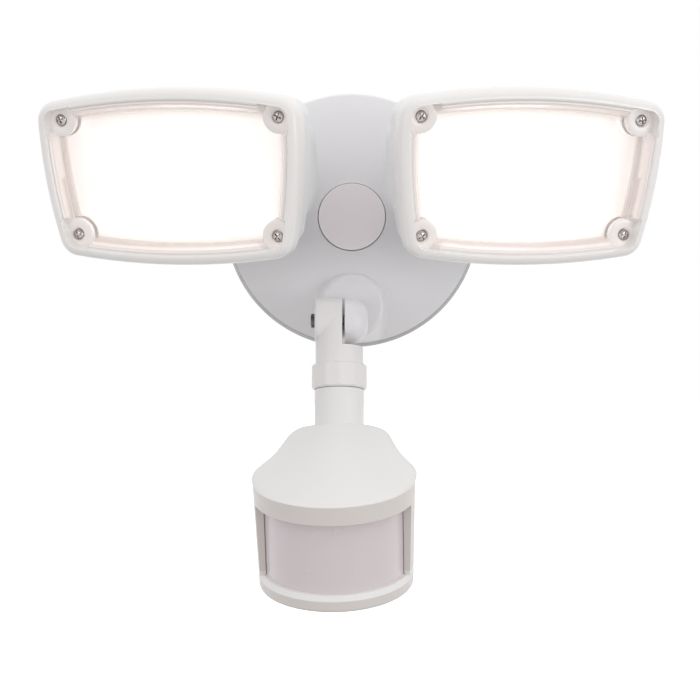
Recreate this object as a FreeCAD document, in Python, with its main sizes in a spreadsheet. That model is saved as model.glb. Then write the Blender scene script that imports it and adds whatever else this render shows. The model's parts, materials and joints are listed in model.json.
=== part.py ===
import FreeCAD, Part
import Sketcher
import math
import os

# Twin-head motion sensor security light for a wall, in millimetres.
# The wall is the plane y = 0, the light looks along -Y and +Z is up.
# The origin is the middle of the round canopy on the wall.

doc = FreeCAD.newDocument("SecurityLight")
sheet = doc.addObject("Spreadsheet::Sheet", "Dims")
Vector = FreeCAD.Vector
Rotation = FreeCAD.Rotation
Placement = FreeCAD.Placement


# ---------------------------------------------------------------- driving dimensions

drivingDimensions = [
    # canopy: the round wall plate that covers the junction box
    ("canopyRadius", 63.5, "outer radius of the round canopy"),
    ("canopyHeight", 26.0, "from the wall to the top of the dome"),
    ("domeRise", 18.208523, "from the dome's front edge to its top"),
    ("canopyWall", 2.2, "wall of the canopy"),
    ("rimRound", 0.7, "rounding of the canopy's front edge"),
    ("rimTaper", 1.4, "canopy's side narrows by this towards its front edge"),
    ("driverPostRadius", 3.2, "posts that hold the power module"),
    ("gasketThickness", 3.0, "foam gasket between wall and canopy"),
    ("gasketWidth", 6.5, "width of the foam ring"),
    ("gasketInset", 1.2, "foam ring is this much inside the canopy's rim"),
    ("plugRadius", 16.3, "flush plug over the mounting bolt"),
    ("plugGap", 0.35, "dark line round the plug"),
    ("plugThickness", 1.8, "face of the plug"),
    ("plugRound", 0.4, "rounding of the plug's edge"),
    ("plugSkirt", 1.6, "wall of the plug's skirt"),
    ("plugRecess", 6.0, "depth of the recess that holds the plug"),
    ("boltSeat", 4.0, "thickness under the mounting bolt's head"),
    ("wallReach", 90.0, "space behind the canopy, from its middle"),
    # mounting strap and its screws
    ("strapLength", 100.0, "crossbar behind the canopy"),
    ("strapWidth", 17.0, "height of the crossbar"),
    ("strapThickness", 2.0, "steel of the crossbar"),
    ("strapCorner", 4.25, "rounding of the crossbar's corners"),
    ("slotSpacing", 79.4, "between the two slots' middles"),
    ("slotLength", 14.0, "whole length of a slot"),
    ("slotWidth", 4.6, "clears a number 8 screw"),
    ("boltRadius", 2.45, "shank of the mounting bolt"),
    ("boltHeadRadius", 5.0, "head of the mounting bolt"),
    ("boltHeadHeight", 2.6, "head of the mounting bolt"),
    ("threadGap", 0.05, "radial clearance of shanks and spigots"),
    ("shankShort", 0.2, "shanks end this far short of what is behind them"),
    ("groundOffset", 19.0, "ground screw from the strap's middle"),
    ("groundRadius", 1.9, "shank of the ground screw"),
    ("groundHeadRadius", 4.2, "head of the ground screw"),
    ("groundHeadHeight", 2.2, "head of the ground screw"),
    ("groundSlitDepth", 0.9, "slit of the ground screw"),
    ("groundSlitWidth", 1.0, "slit of the ground screw"),
    # power module inside the canopy
    ("driverLength", 44.0, "power module across"),
    ("driverWidth", 20.0, "power module up and down"),
    ("driverHeight", 10.0, "power module off the wall"),
    ("driverDrop", 23.0, "middle of the module above the canopy's middle"),
    ("driverBack", 4.5, "module's back face from the wall"),
    ("driverCorner", 2.5, "rounding of the module's corners"),
    # flared pedestal and fixed ear for the sensor arm
    ("pedestalDrop", 43.8, "pedestal axis below the canopy's middle"),
    ("pedestalBase", 22.0, "pedestal radius at the wall side"),
    ("pedestalTop", 15.3, "pedestal radius at its front"),
    ("pedestalRound", 2.4, "rounding of the pedestal's front edge"),
    ("pedestalFoot", 6.0, "pedestal starts this far off the wall"),
    ("pedestalGap", 0.5, "pedestal's front face behind the ears"),
    ("pivotOut", 38.0, "sensor arm's pivot off the wall"),
    ("pivotDrop", 51.1, "sensor arm's pivot below the canopy's middle"),
    ("splitOffset", 4.0, "split plane left of the canopy's middle"),
    ("splitGap", 1.2, "gap between the two ears"),
    ("earRadius", 11.0, "radius of both ears"),
    ("earRound", 9.0, "rounding of the fixed ear's free end"),
    ("fixedEarWidth", 12.0, "fixed ear from the split plane"),
    ("earNeckLow", 0.8, "fixed ear's neck below the pivot, share of the ear's radius"),
    ("earNeckHigh", 0.98, "fixed ear's neck above the pivot, share of the ear's radius"),
    # sensor arm
    ("armLean", 10.6, "degrees, lower end forward of straight down"),
    ("armOffset", 6.0, "arm axis left of the canopy's middle"),
    ("armRadius", 11.3, "round arm"),
    ("armEarProud", 0.4, "arm's ear stands out of the round arm"),
    ("armEarRound", 1.2, "rounding of the arm's ear"),
    ("armEarClear", 0.6, "space round the fixed ear"),
    ("armStepDrop", 2.2, "arm is whole from this far below the ears"),
    ("armLength", 21.4, "pivot to the top of the lock collar"),
    ("spigotRadius", 8.4, "arm's spigot inside the sensor's neck"),
    ("spigotEnd", 49.0, "pivot to the end of the spigot"),
    ("collarRadius", 13.0, "lock collar"),
    ("collarLength", 12.0, "lock collar"),
    ("collarFlats", 12, "faint grip flats of the lock collar"),
    ("collarFlatReach", 1.012, "flats' corners, share of the collar's radius"),
    ("collarChamfer", 0.9, "edges of the lock collar"),
    ("armBoltRadius", 2.4, "pivot bolt shank"),
    ("armBoltHead", 3.5, "pivot bolt head radius"),
    ("armBoltHeadHeight", 2.0, "pivot bolt head"),
    ("armBoltRound", 0.8, "rounding of the pivot bolt's head"),
    # sensor head, measured from the end of the neck
    ("neckEnd", 51.3, "pivot to the foot of the neck"),
    ("neckRadius", 11.7, "sensor's neck"),
    ("neckGap", 0.3, "neck below the lock collar"),
    ("sensorTurn", 3.0, "degrees, sensor turned to the left"),
    ("crownHalfWidth", 24.0, "hood's upper section, half width"),
    ("crownDrop", 3.6, "hood's upper section below the neck's foot"),
    ("crownBack", 22.0, "hood's upper section, back end behind the neck's axis"),
    ("crownBackDrop", 1.0, "hood's upper section, back end below the neck's foot"),
    ("notchHalfWidth", 28.9, "hood's middle section, half width"),
    ("notchDrop", 11.2, "hood's middle section below the neck's foot"),
    ("notchBack", 26.8, "hood's middle section, back end behind the neck's axis"),
    ("notchBackDrop", 4.5, "hood's middle section, back end below the neck's foot"),
    ("flankInset", 2.2, "hood's lower section inside the drum's radius"),
    ("flankDrop", 19.0, "hood's lower section below the neck's foot"),
    ("flankBack", 27.4, "hood's lower section, back end behind the neck's axis"),
    ("flankBackDrop", 8.0, "hood's lower section, back end below the neck's foot"),
    ("hoodSkin", 5.0, "crease to the pocket behind the hood, and the pocket's rise"),
    ("hoodPocketTop", 18.0, "radius of the pocket's roof"),
    ("hoodPocketFoot", 29.5, "radius of the pocket where it meets the drum's hollow"),
    ("boreDepth", 20.0, "wiring bore below the neck's foot"),
    ("drumAside", 2.0, "drum's axis left of the neck's axis"),
    ("drumTilt", 25.6, "degrees between neck and drum axes"),
    ("drumForward", 8.0, "drum axis forward of the neck axis at the crease"),
    ("drumDrop", 25.7, "crease below the neck's foot"),
    ("drumRadius", 38.0, "drum at the crease"),
    ("drumFootRadius", 36.7, "drum at its lower end"),
    ("drumHeight", 51.2, "crease to the underside"),
    ("drumWall", 2.6, "wall of the drum"),
    ("hoodBand", 8.6, "band between crease and window"),
    ("windowAngle", 73.0, "degrees, half of the window"),
    ("rimHeight", 8.0, "height of the lower rim"),
    ("rimBevel", 2.3, "bevel on the lower rim's top"),
    ("rimBevelIn", 1.7, "bevel on the lower rim's top, inward"),
    ("rimFootIn", 0.2, "underside's edge inside the drum's radius"),
    ("rimFootRound", 1.6, "rounding of the underside's edge"),
    ("seamGap", 0.15, "gap where two mouldings meet"),
    ("lensRadius", 33.5, "curved detector lens"),
    ("lensGap", 0.3, "window's side faces end this far from the lens"),
    ("jambAngle", 3.5, "degrees, thickness of the window's side faces"),
    ("lensWall", 1.0, "curved detector lens"),
    ("lensAngle", 80.0, "degrees, half of the lens"),
    ("lensLedge", 1.2, "ring under the lens, each side of it"),
    ("boardWidth", 44.0, "sensor's circuit board"),
    ("boardThickness", 1.6, "circuit boards"),
    ("boardBack", 8.0, "board behind the drum's axis"),
    ("boardTop", 10.0, "board's top below the crease"),
    ("canRadius", 4.6, "heat detector can"),
    ("canHeight", 4.4, "heat detector can"),
    ("canFlange", 0.6, "can's flange, outward and thick"),
    ("canPlace", 0.45, "detector below the crease, share of the drum's height"),
    ("photocellRadius", 2.5, "light cell"),
    ("photocellHeight", 3.0, "light cell"),
    ("photocellInset", 6.0, "light cell from the board's side"),
    ("photocellDrop", 8.0, "light cell below the detector"),
    ("knobRadius", 5.6, "setting knobs"),
    ("knobHeight", 4.1, "setting knobs"),
    ("knobProud", 1.8, "knobs stand below the underside"),
    ("knobGap", 0.4, "round each knob"),
    ("knobSpacing", 24.0, "between the two knobs"),
    ("knobBack", 4.0, "knobs in front of the drum's axis"),
    ("knobShaft", 2.0, "knob shaft radius"),
    ("knobRound", 0.7, "rounding of the knobs"),
    ("knobSlitReach", 0.8, "slit's half length, share of the knob's radius"),
    ("knobSlitWidth", 1.2, "slit of a knob"),
    ("knobSlitDepth", 1.2, "slit of a knob"),
    ("trimmerSize", 15.0, "side of a knob's trimmer"),
    ("trimmerHeight", 5.0, "height of a knob's trimmer"),
    ("baseScrewCircle", 32.3, "underside screws from the drum's axis"),
    ("baseScrewSide", 8.0, "degrees, side screws behind the lens's ends"),
    ("baseScrewRadius", 1.4, "underside screws"),
    ("baseScrewHead", 2.9, "underside screws' heads"),
    ("baseScrewHeadHeight", 1.2, "underside screws' heads"),
    ("baseScrewLength", 12.0, "underside screws"),
    ("basePostRadius", 3.6, "posts that take the underside screws"),
    # lamp heads: face corners, crowned edges and depths behind the screw plane
    ("headOut", 81.9, "middle of a face from the canopy's middle"),
    ("headForward", 74.7, "middle of a face off the wall"),
    ("headRise", 14.1, "middle of a face above the canopy's middle"),
    ("headYaw", 19.8, "degrees outward"),
    ("headPitch", 14.3, "degrees down"),
    ("headRoll", 2.0, "degrees, outer end up"),
    ("rightTurn", 1.7, "degrees, right lamp turned inward on its pivot"),
    ("faceTopHalf", 64.4, "half width at the top corners"),
    ("faceFootHalf", 56.9, "half width at the bottom corners"),
    ("faceTop", 34.4, "top corners above the middle"),
    ("faceFoot", 35.6, "bottom corners below the middle"),
    ("crownRadius", 350.0, "bow of the top and bottom edges"),
    ("cheekRadius", 230.0, "bow of the two side edges"),
    ("faceCorner", 9.5, "rounding of the face's corners"),
    ("lensFront", 7.0, "lens crest in front of the screw plane"),
    ("lensBack", 3.0, "lens seat behind the screw plane"),
    ("lensEdgeRound", 4.0, "rounded outer edge of the lens"),
    ("lensSkin", 2.2, "thickness of the lens window"),
    ("lensStep", 4.6, "width of the lens's outer rim"),
    ("lensStepDepth", 1.2, "first step behind the lens's crest"),
    ("lensStepWidth", 2.0, "second step inside the first"),
    ("lensStepFoot", 2.4, "second step behind the lens's crest"),
    ("windowProud", 1.2, "clear window in front of the screw plane"),
    ("lensHollowIn", 1.0, "lens's hollow inside the housing's wall"),
    ("lensSlope", 9.4, "rim to the clear window"),
    ("lensGasket", 1.0, "seal under the lens"),
    ("gasketIn", 0.2, "seal inside the housing's outline"),
    ("shellInset", 0.9, "housing inside the lens's outline"),
    ("shellWall", 2.4, "wall of the housing"),
    ("shellDepth", 19.0, "front part of the housing, behind the screw plane"),
    ("shellDraft", 9.0, "degrees, front part tapers back"),
    ("bulgeDepth", 43.0, "whole housing behind the screw plane"),
    ("bulgeStart", 4.0, "back part starts behind the housing's front edge"),
    ("bulgeDraft", 5.0, "degrees, back part tapers"),
    ("bulgeHalfHeight", 27.5, "back part up and down from the middle"),
    ("bulgeHalfWidth", 58.6, "back part side to side from the middle"),
    ("bulgeCorner", 14.0, "rounding of the back part's corners"),
    ("bulgeRound", 4.0, "rounding of the back edge"),
    ("screwTopHalf", 54.3, "upper screws from the middle"),
    ("screwFootHalf", 50.7, "lower screws from the middle"),
    ("screwHeight", 26.9, "screws above and below the middle"),
    ("screwRadius", 1.9, "lens screws"),
    ("screwHead", 3.3, "lens screws' heads"),
    ("screwHeadHeight", 2.3, "lens screws' heads"),
    ("screwBoss", 5.2, "lens boss and housing post round a screw"),
    ("screwLength", 12.0, "lens screws"),
    ("postInset", 0.5, "posts inside the housing's outline"),
    ("postHoleSpare", 0.5, "post holes beyond the screws' ends"),
    ("screwWell", 0.6, "well round a lens screw's head"),
    ("screwHeadRound", 0.8, "rounding of a lens screw's head, share of its height"),
    ("reflectorFront", 3.2, "reflector's front edge behind the screw plane"),
    ("reflectorBack", 22.0, "reflector's back edge"),
    ("reflectorInset", 7.2, "reflector inside the lens's outline"),
    ("reflectorWall", 1.0, "reflector sheet"),
    ("reflectorClear", 0.8, "reflector clears the screw posts by this"),
    ("lightHalfWidth", 23.0, "opening over the light source"),
    ("lightHalfHeight", 14.0, "opening over the light source"),
    ("lightBoardHalfWidth", 34.0, "light source board"),
    ("lightBoardHalfHeight", 21.0, "light source board"),
    ("heatPlate", 2.5, "heat sink's plate"),
    ("heatFins", 7, "heat sink's fins"),
    ("finShare", 0.4, "thickness of a fin, share of the fins' pitch"),
    ("chipSide", 3.0, "one light chip"),
    ("chipHeight", 0.8, "one light chip"),
    ("chipColumns", 7, "light chips across"),
    ("chipRows", 4, "light chips up and down"),
    ("chipPitch", 6.0, "between light chips"),
    # lamp pivots and stems
    ("lugReach", 9.2, "pivot behind the housing"),
    ("lugRadius", 8.3, "ears of a lamp's pivot"),
    ("lugWidth", 7.2, "one ear, from the split plane"),
    ("lugGap", 0.5, "gap between the two ears"),
    ("stemAngle", 40.0, "degrees between stem and face axis"),
    ("stemReach", 27.5, "pivot to the hub's middle on the dome"),
    ("stemRadius", 7.5, "round stem"),
    ("stemStart", 9.6, "stem is whole beyond this distance from the pivot"),
    ("stemWebWidth", 0.85, "web at the stem's ear, share of the ear's width"),
    ("stemWebHeight", 0.9, "web at the stem's ear, share of the ear's height"),
    ("shankRadius", 6.2, "threaded end of the stem"),
    ("lockNutRadius", 9.9, "lock nut across its corners"),
    ("lockNutLength", 4.6, "lock nut"),
    ("nutFront", 0.94, "lock nut's chamfer cone at its front, share of its radius"),
    ("nutBack", 1.1, "lock nut's chamfer cone at its back, share of its radius"),
    ("hubRadius", 11.5, "hub on the dome"),
    ("hubRound", 1.5, "rounding of the hub's front edge"),
    ("hubProud", 9.4, "hub stands out of the dome"),
    ("hubDepth", 4.0, "hub reaches into the dome"),
    ("lampBoltRadius", 2.4, "lamp pivot bolt"),
    ("lampBoltHead", 4.4, "lamp pivot bolt's head"),
    ("lampBoltHeadHeight", 2.6, "lamp pivot bolt's head"),
    ("lampBoltRound", 1.2, "rounding of the lamp pivot bolt's head"),
]


class Size:
    """A number together with the sheet formula that gives it."""

    def __init__(self, value, formula):
        self.value = float(value)
        self.formula = formula

    def __add__(self, other):
        other = size(other)
        return Size(self.value + other.value, f"({self.formula} + {other.formula})")

    def __sub__(self, other):
        other = size(other)
        return Size(self.value - other.value, f"({self.formula} - {other.formula})")

    def __mul__(self, other):
        other = size(other)
        return Size(self.value * other.value, f"({self.formula} * {other.formula})")

    def __truediv__(self, other):
        other = size(other)
        return Size(self.value / other.value, f"({self.formula} / {other.formula})")

    def __neg__(self):
        return Size(-self.value, f"(0 - {self.formula})")

    def __radd__(self, other):
        return size(other) + self

    def __rsub__(self, other):
        return size(other) - self

    def __rmul__(self, other):
        return size(other) * self


def size(number):
    if isinstance(number, Size):
        return number
    return Size(number, f"({float(number)})")


class Dimensions:
    """The sheet's values, one attribute for each alias."""


dim = Dimensions()
for row, (alias, value, note) in enumerate(drivingDimensions, start=1):
    sheet.set(f"A{row}", alias)
    sheet.set(f"B{row}", str(value))
    sheet.set(f"C{row}", note)
    sheet.setAlias(f"B{row}", alias)
    setattr(dim, alias, Size(value, f"Dims.{alias}"))
doc.recompute()


# ---------------------------------------------------------------- building helpers

def bind(obj, prop, amount):
    """Ties one property of an object to the sheet."""
    obj.setExpression(prop, size(amount).formula)


def newBody(label):
    body = doc.addObject("PartDesign::Body", label)
    body.Label = label
    return body


def newSketch(body, role, along=0):
    """A sketch on one of the body's own planes, moved along the plane's normal."""
    sketch = body.newObject("Sketcher::SketchObject", body.Label + "_sketch")
    plane = [item for item in body.Origin.OriginFeatures if item.Role == role][0]
    sketch.AttachmentSupport = [(plane, "")]
    sketch.MapMode = "FlatFace"
    bind(sketch, "AttachmentOffset.Base.z", along)
    return sketch


def arcBetween(start, end, radius):
    """Arc from start to end: positive radius bulges to the right of the way along it."""
    chord = end - start
    half = chord.Length / 2
    away = math.sqrt(max(radius * radius - half * half, 0))
    inward = Vector(-chord.y, chord.x, 0).normalize() * math.copysign(away, radius)
    middle = (start + end) / 2 + inward
    first, last = (start, end) if radius > 0 else (end, start)
    angles = [math.atan2(point.y - middle.y, point.x - middle.x) for point in (first, last)]
    if angles[1] < angles[0]:
        angles[1] += 2 * math.pi
    return Part.ArcOfCircle(Part.Circle(middle, Vector(0, 0, 1), abs(radius)), *angles)


def outline(sketch, corners):
    """Closed outline. A corner is (x, y), or (x, y, r) where an arc of radius r follows.

    A positive r bulges to the right of the way from this corner to the next one.
    """
    count = len(corners)
    first = sketch.GeometryCount
    points = [Vector(size(item[0]).value, size(item[1]).value, 0) for item in corners]
    ends = []
    for index, corner in enumerate(corners):
        start = points[index]
        end = points[(index + 1) % count]
        if len(corner) == 2:
            sketch.addGeometry(Part.LineSegment(start, end))
            ends.append((1, 2))
            continue
        radius = size(corner[2]).value
        sketch.addGeometry(arcBetween(start, end, radius))
        ends.append((1, 2) if radius > 0 else (2, 1))
    for index, corner in enumerate(corners):
        here = first + index
        following = (index + 1) % count
        sketch.addConstraint(Sketcher.Constraint(
            "Coincident", here, ends[index][1], first + following, ends[following][0]))
        for kind, axis, amount in (("DistanceX", -2, corner[0]), ("DistanceY", -1, corner[1])):
            amount = size(amount)
            if amount.formula == "(0.0)":
                sketch.addConstraint(Sketcher.Constraint(
                    "PointOnObject", here, ends[index][0], axis))
                continue
            number = sketch.addConstraint(Sketcher.Constraint(
                kind, -1, 1, here, ends[index][0], amount.value))
            bind(sketch, f"Constraints[{number}]", amount)
        if len(corner) == 3:
            radius = corner[2] if size(corner[2]).value > 0 else -size(corner[2])
            number = sketch.addConstraint(Sketcher.Constraint("Radius", here, size(radius).value))
            bind(sketch, f"Constraints[{number}]", radius)


def circle(sketch, x, y, radius):
    """Circle with its middle and radius tied to the sheet."""
    x, y, radius = size(x), size(y), size(radius)
    item = sketch.addGeometry(Part.Circle(Vector(x.value, y.value, 0), Vector(0, 0, 1), radius.value))
    number = sketch.addConstraint(Sketcher.Constraint("Radius", item, radius.value))
    bind(sketch, f"Constraints[{number}]", radius)
    for kind, amount in (("DistanceX", x), ("DistanceY", y)):
        number = sketch.addConstraint(Sketcher.Constraint(kind, -1, 1, item, 3, amount.value))
        bind(sketch, f"Constraints[{number}]", amount)


def slot(sketch, x, y, length, width):
    """Round-ended slot along x, as an outline of two lines and two arcs."""
    reach = (length - width) / 2
    half = width / 2
    outline(sketch, [
        (x - reach, y - half),
        (x + reach, y - half, half * 1.0001),
        (x + reach, y + half),
        (x - reach, y + half, half * 1.0001)])


def rectangle(sketch, left, right, low, high):
    outline(sketch, [(left, low), (right, low), (right, high), (left, high)])


def feature(body, kind, sketch, name, length=None, reverse=False, draft=None):
    """Pad or Pocket of a sketch."""
    made = body.newObject("PartDesign::" + kind, body.Label + "_" + name)
    made.Profile = sketch
    made.Reversed = reverse
    if length is None:
        made.Type = "ThroughAll"
        made.Midplane = True
    else:
        bind(made, "Length", length)
    if draft is not None:
        bind(made, "TaperAngle", draft)
    sketch.Visibility = False
    return made


def revolve(body, sketch, kind="Revolution", axis="V_Axis"):
    """Full turn of a sketch about one of its own axes."""
    made = body.newObject("PartDesign::" + kind, body.Label + "_" + kind.lower())
    made.Profile = sketch
    made.ReferenceAxis = (sketch, [axis])
    made.Angle = 360
    return made


def edgeNames(shape, wanted):
    """Names of the edges of a shape that a test accepts."""
    return [f"Edge{number}" for number, edge in enumerate(shape.Edges, start=1) if wanted(edge)]


def rounded(body, base, wanted, radius, kind="Fillet"):
    """Fillet or chamfer on the edges of a feature that a test accepts."""
    doc.recompute()
    names = edgeNames(base.Shape, wanted)
    if not names:
        raise ValueError(f"no edge to round on {body.Label}")
    made = body.newObject("PartDesign::" + kind, body.Label + "_" + kind.lower())
    made.Base = (base, names)
    bind(made, "Radius" if kind == "Fillet" else "Size", radius)
    return made


def ringEdge(radius, height, axis):
    """Test for a full circle of this radius at this place along an axis."""
    def wanted(edge):
        if not isinstance(edge.Curve, Part.Circle):
            return False
        middle = edge.Curve.Center
        place = {"x": middle.x, "y": middle.y, "z": middle.z}[axis]
        return abs(edge.Curve.Radius - size(radius).value) < 0.01 and abs(place - size(height).value) < 0.01
    return wanted


axisTurn = {
    "x": Rotation(Vector(0, 1, 0), 90),
    "y": Rotation(Vector(1, 0, 0), -90),
    "z": Rotation(),
}


def placeAt(obj, x, y, z, axis="z"):
    obj.Placement = Placement(Vector(0, 0, 0), axisTurn[axis])
    bind(obj, "Placement.Base.x", x)
    bind(obj, "Placement.Base.y", y)
    bind(obj, "Placement.Base.z", z)


def box(name, left, right, front, back, low, high):
    """Block between two places along each axis."""
    made = doc.addObject("Part::Box", name)
    bind(made, "Length", right - size(left))
    bind(made, "Width", back - size(front))
    bind(made, "Height", high - size(low))
    placeAt(made, left, front, low)
    return made


def rod(name, axis, radius, start, end, first=0, second=0):
    """Cylinder along an axis from start to end; first and second are its other two places."""
    made = doc.addObject("Part::Cylinder", name)
    bind(made, "Radius", radius)
    bind(made, "Height", end - size(start))
    places = {"x": (start, first, second), "y": (first, start, second), "z": (first, second, start)}
    placeAt(made, *places[axis], axis)
    return made


def cone(name, axis, startRadius, endRadius, start, end, first=0, second=0):
    made = doc.addObject("Part::Cone", name)
    bind(made, "Radius1", startRadius)
    bind(made, "Radius2", endRadius)
    bind(made, "Height", end - size(start))
    places = {"x": (start, first, second), "y": (first, start, second), "z": (first, second, start)}
    placeAt(made, *places[axis], axis)
    return made


def fuse(name, *items):
    made = doc.addObject("Part::MultiFuse", name)
    made.Shapes = list(items)
    made.Refine = True
    return made


def common(name, *items):
    made = doc.addObject("Part::MultiCommon", name)
    made.Shapes = list(items)
    return made


def cut(name, base, *tools):
    made = doc.addObject("Part::Cut", name)
    made.Base = base
    made.Tool = tools[0] if len(tools) == 1 else fuse(name + "_tools", *tools)
    made.Refine = True
    return made


def placed(name, obj, frame):
    """The object seen in another frame."""
    made = doc.addObject("Part::Compound", name)
    made.Links = [obj]
    made.Placement = frame
    return made


def partFillet(name, base, wanted, radius, kind="Fillet"):
    """Fillet or chamfer of a Part shape on the edges that a test accepts."""
    doc.recompute()
    made = doc.addObject("Part::" + kind, name)
    made.Base = base
    amount = size(radius).value
    made.Edges = [(number, amount, amount)
                  for number, edge in enumerate(base.Shape.Edges, start=1) if wanted(edge)]
    if not made.Edges:
        raise ValueError(f"no edge to round on {name}")
    return made


# sizes that follow from others
canopyFront = dim.canopyRadius - dim.rimTaper
domeRadius = (canopyFront * canopyFront + dim.domeRise * dim.domeRise) / (dim.domeRise * 2)
pedestalFront = dim.pivotOut - dim.earRadius - dim.pedestalGap
armStep = dim.earRadius + dim.armStepDrop

nodes = []


def keep(label, obj, frame=None):
    """Names a finished sub-part and puts it in its frame."""
    obj.Label = label
    obj.Placement = frame or Placement()
    nodes.append(obj)
    return obj


# ---------------------------------------------------------------- frames

def aimFrame(side):
    """Where a lamp's screw plane lies when both lamps mirror each other."""
    turn = (Rotation(Vector(0, 0, 1), side * dim.headYaw.value)
            * Rotation(Vector(1, 0, 0), dim.headPitch.value)
            * Rotation(Vector(0, 1, 0), -side * dim.headRoll.value))
    place = Vector(side * dim.headOut.value, -dim.headForward.value, dim.headRise.value)
    return Placement(place, turn)


def pivotFrame(side):
    """Lamp pivot seen from the middle of the lamp's screw plane."""
    reach = dim.bulgeDepth.value + dim.lugReach.value
    return Placement(Vector(0, reach, 0), Rotation(Vector(0, 0, 1), side * dim.stemAngle.value))


def stemFrame(side):
    """Lamp pivot: z along the pivot bolt, y along the stem towards the dome."""
    return aimFrame(side) * pivotFrame(side)


def headFrame(side):
    """Middle of a lamp's screw plane: x across the face, y into the head, z up it."""
    turn = Placement(Vector(), Rotation(Vector(0, 0, 1), -dim.rightTurn.value if side > 0 else 0))
    return stemFrame(side) * turn * pivotFrame(side).inverse()


def armFrame():
    """Sensor arm's pivot: x along the pivot bolt, -z down the arm."""
    place = Vector(-dim.armOffset.value, -dim.pivotOut.value, -dim.pivotDrop.value)
    return Placement(place, Rotation(Vector(1, 0, 0), -dim.armLean.value))


def sensorFrame():
    """Foot of the sensor's neck, on the arm's axis."""
    turn = Rotation(Vector(0, 0, 1), -dim.sensorTurn.value)
    return armFrame() * Placement(Vector(0, 0, -dim.neckEnd.value), turn)


def drumOffset():
    """Crease circle of the drum, seen from the foot of the neck."""
    place = Vector(-dim.drumAside.value, -dim.drumForward.value, -dim.drumDrop.value)
    return Placement(place, Rotation(Vector(1, 0, 0), dim.drumTilt.value))


def drumFrame():
    return sensorFrame() * drumOffset()


# ---------------------------------------------------------------- canopy and what it holds

def domeEdge(ball, radius):
    """How far off the wall a ball's curve lies at this distance from the canopy's axis."""
    value = dim.canopyHeight.value - domeRadius.value + math.sqrt(ball.value ** 2 - radius.value ** 2)
    formula = (f"(Dims.canopyHeight - {domeRadius.formula}"
               f" + sqrt({ball.formula} * {ball.formula} - {radius.formula} * {radius.formula}))")
    return Size(value, formula)


def makeDome():
    """Dome with its tapered side, open at the wall."""
    body = newBody("canopyDome")
    sketch = newSketch(body, "XY_Plane")
    outer = dim.canopyRadius
    inner = outer - dim.canopyWall
    innerBall = domeRadius - dim.canopyWall
    front = canopyFront
    hole = dim.boltRadius + dim.threadGap
    outline(sketch, [
        (hole, -domeEdge(domeRadius, hole), domeRadius),
        (front, -domeEdge(domeRadius, front)),
        (outer, -dim.gasketThickness),
        (inner, -dim.gasketThickness),
        (inner, -domeEdge(innerBall, inner), -innerBall),
        (hole, -domeEdge(innerBall, hole))])
    turned = revolve(body, sketch)
    rounded(body, turned, ringEdge(front, -domeEdge(domeRadius, front), "y"), dim.rimRound)
    return body


def makeDomeCore(name):
    """Solid space under the dome's skin, which trims what stands inside it."""
    body = newBody(name)
    sketch = newSketch(body, "XY_Plane")
    outer = dim.canopyRadius - dim.canopyWall / 2
    ball = domeRadius - dim.canopyWall / 2
    hole = dim.boltRadius + dim.threadGap
    outline(sketch, [
        (hole, -domeEdge(ball, hole), ball),
        (outer, -domeEdge(ball, outer)),
        (outer, -dim.gasketThickness),
        (hole, -dim.gasketThickness)])
    revolve(body, sketch)
    return body


def makePedestal():
    """Flared foot under the fixed ear, kept inside the canopy's rim."""
    flare = cone("pedestalFlare", "y", dim.pedestalTop, dim.pedestalBase,
                 -pedestalFront, -dim.pedestalFoot, 0, -dim.pedestalDrop)
    within = rod("pedestalLimit", "y", dim.canopyRadius - dim.canopyWall,
                 -pedestalFront - 1, -dim.pedestalFoot)
    foot = common("pedestalFoot", flare, within)
    doc.recompute()
    front = ringEdge(dim.pedestalTop, -pedestalFront, "y")
    return partFillet("pedestal", foot, front, dim.pedestalRound)


def makeFixedEar():
    """Right-hand ear of the sensor's pivot with its rounded free end, and its neck."""
    left = -dim.splitOffset + dim.splitGap / 2
    right = -dim.splitOffset + dim.fixedEarWidth
    disc = rod("earDisc", "x", dim.earRadius, left, right, -dim.pivotOut, -dim.pivotDrop)
    doc.recompute()
    free = ringEdge(dim.earRadius, right, "x")
    disc = partFillet("earRounded", disc, free, dim.earRound)
    neck = box("earNeck", left, right - dim.earRound, -dim.pivotOut, -pedestalFront + 2,
               -dim.pivotDrop - dim.earRadius * dim.earNeckLow, -dim.pivotDrop + dim.earRadius * dim.earNeckHigh)
    return fuse("fixedEar", disc, neck)


def makeHub(side, tag):
    """Round hub on the dome, in line with a lamp's stem, and the bore for its shank."""
    front = dim.stemReach - dim.hubProud
    back = dim.stemReach + dim.hubDepth
    hub = rod("hub" + tag, "y", dim.hubRadius, front, back)
    doc.recompute()
    hub = partFillet("hubRounded" + tag, hub, ringEdge(dim.hubRadius, front, "y"), dim.hubRound)
    bore = rod("hubBore" + tag, "y", dim.shankRadius + dim.threadGap, front - 1, back + 1)
    frame = stemFrame(side)
    return placed("hubPlaced" + tag, hub, frame), placed("hubBorePlaced" + tag, bore, frame)


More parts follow.
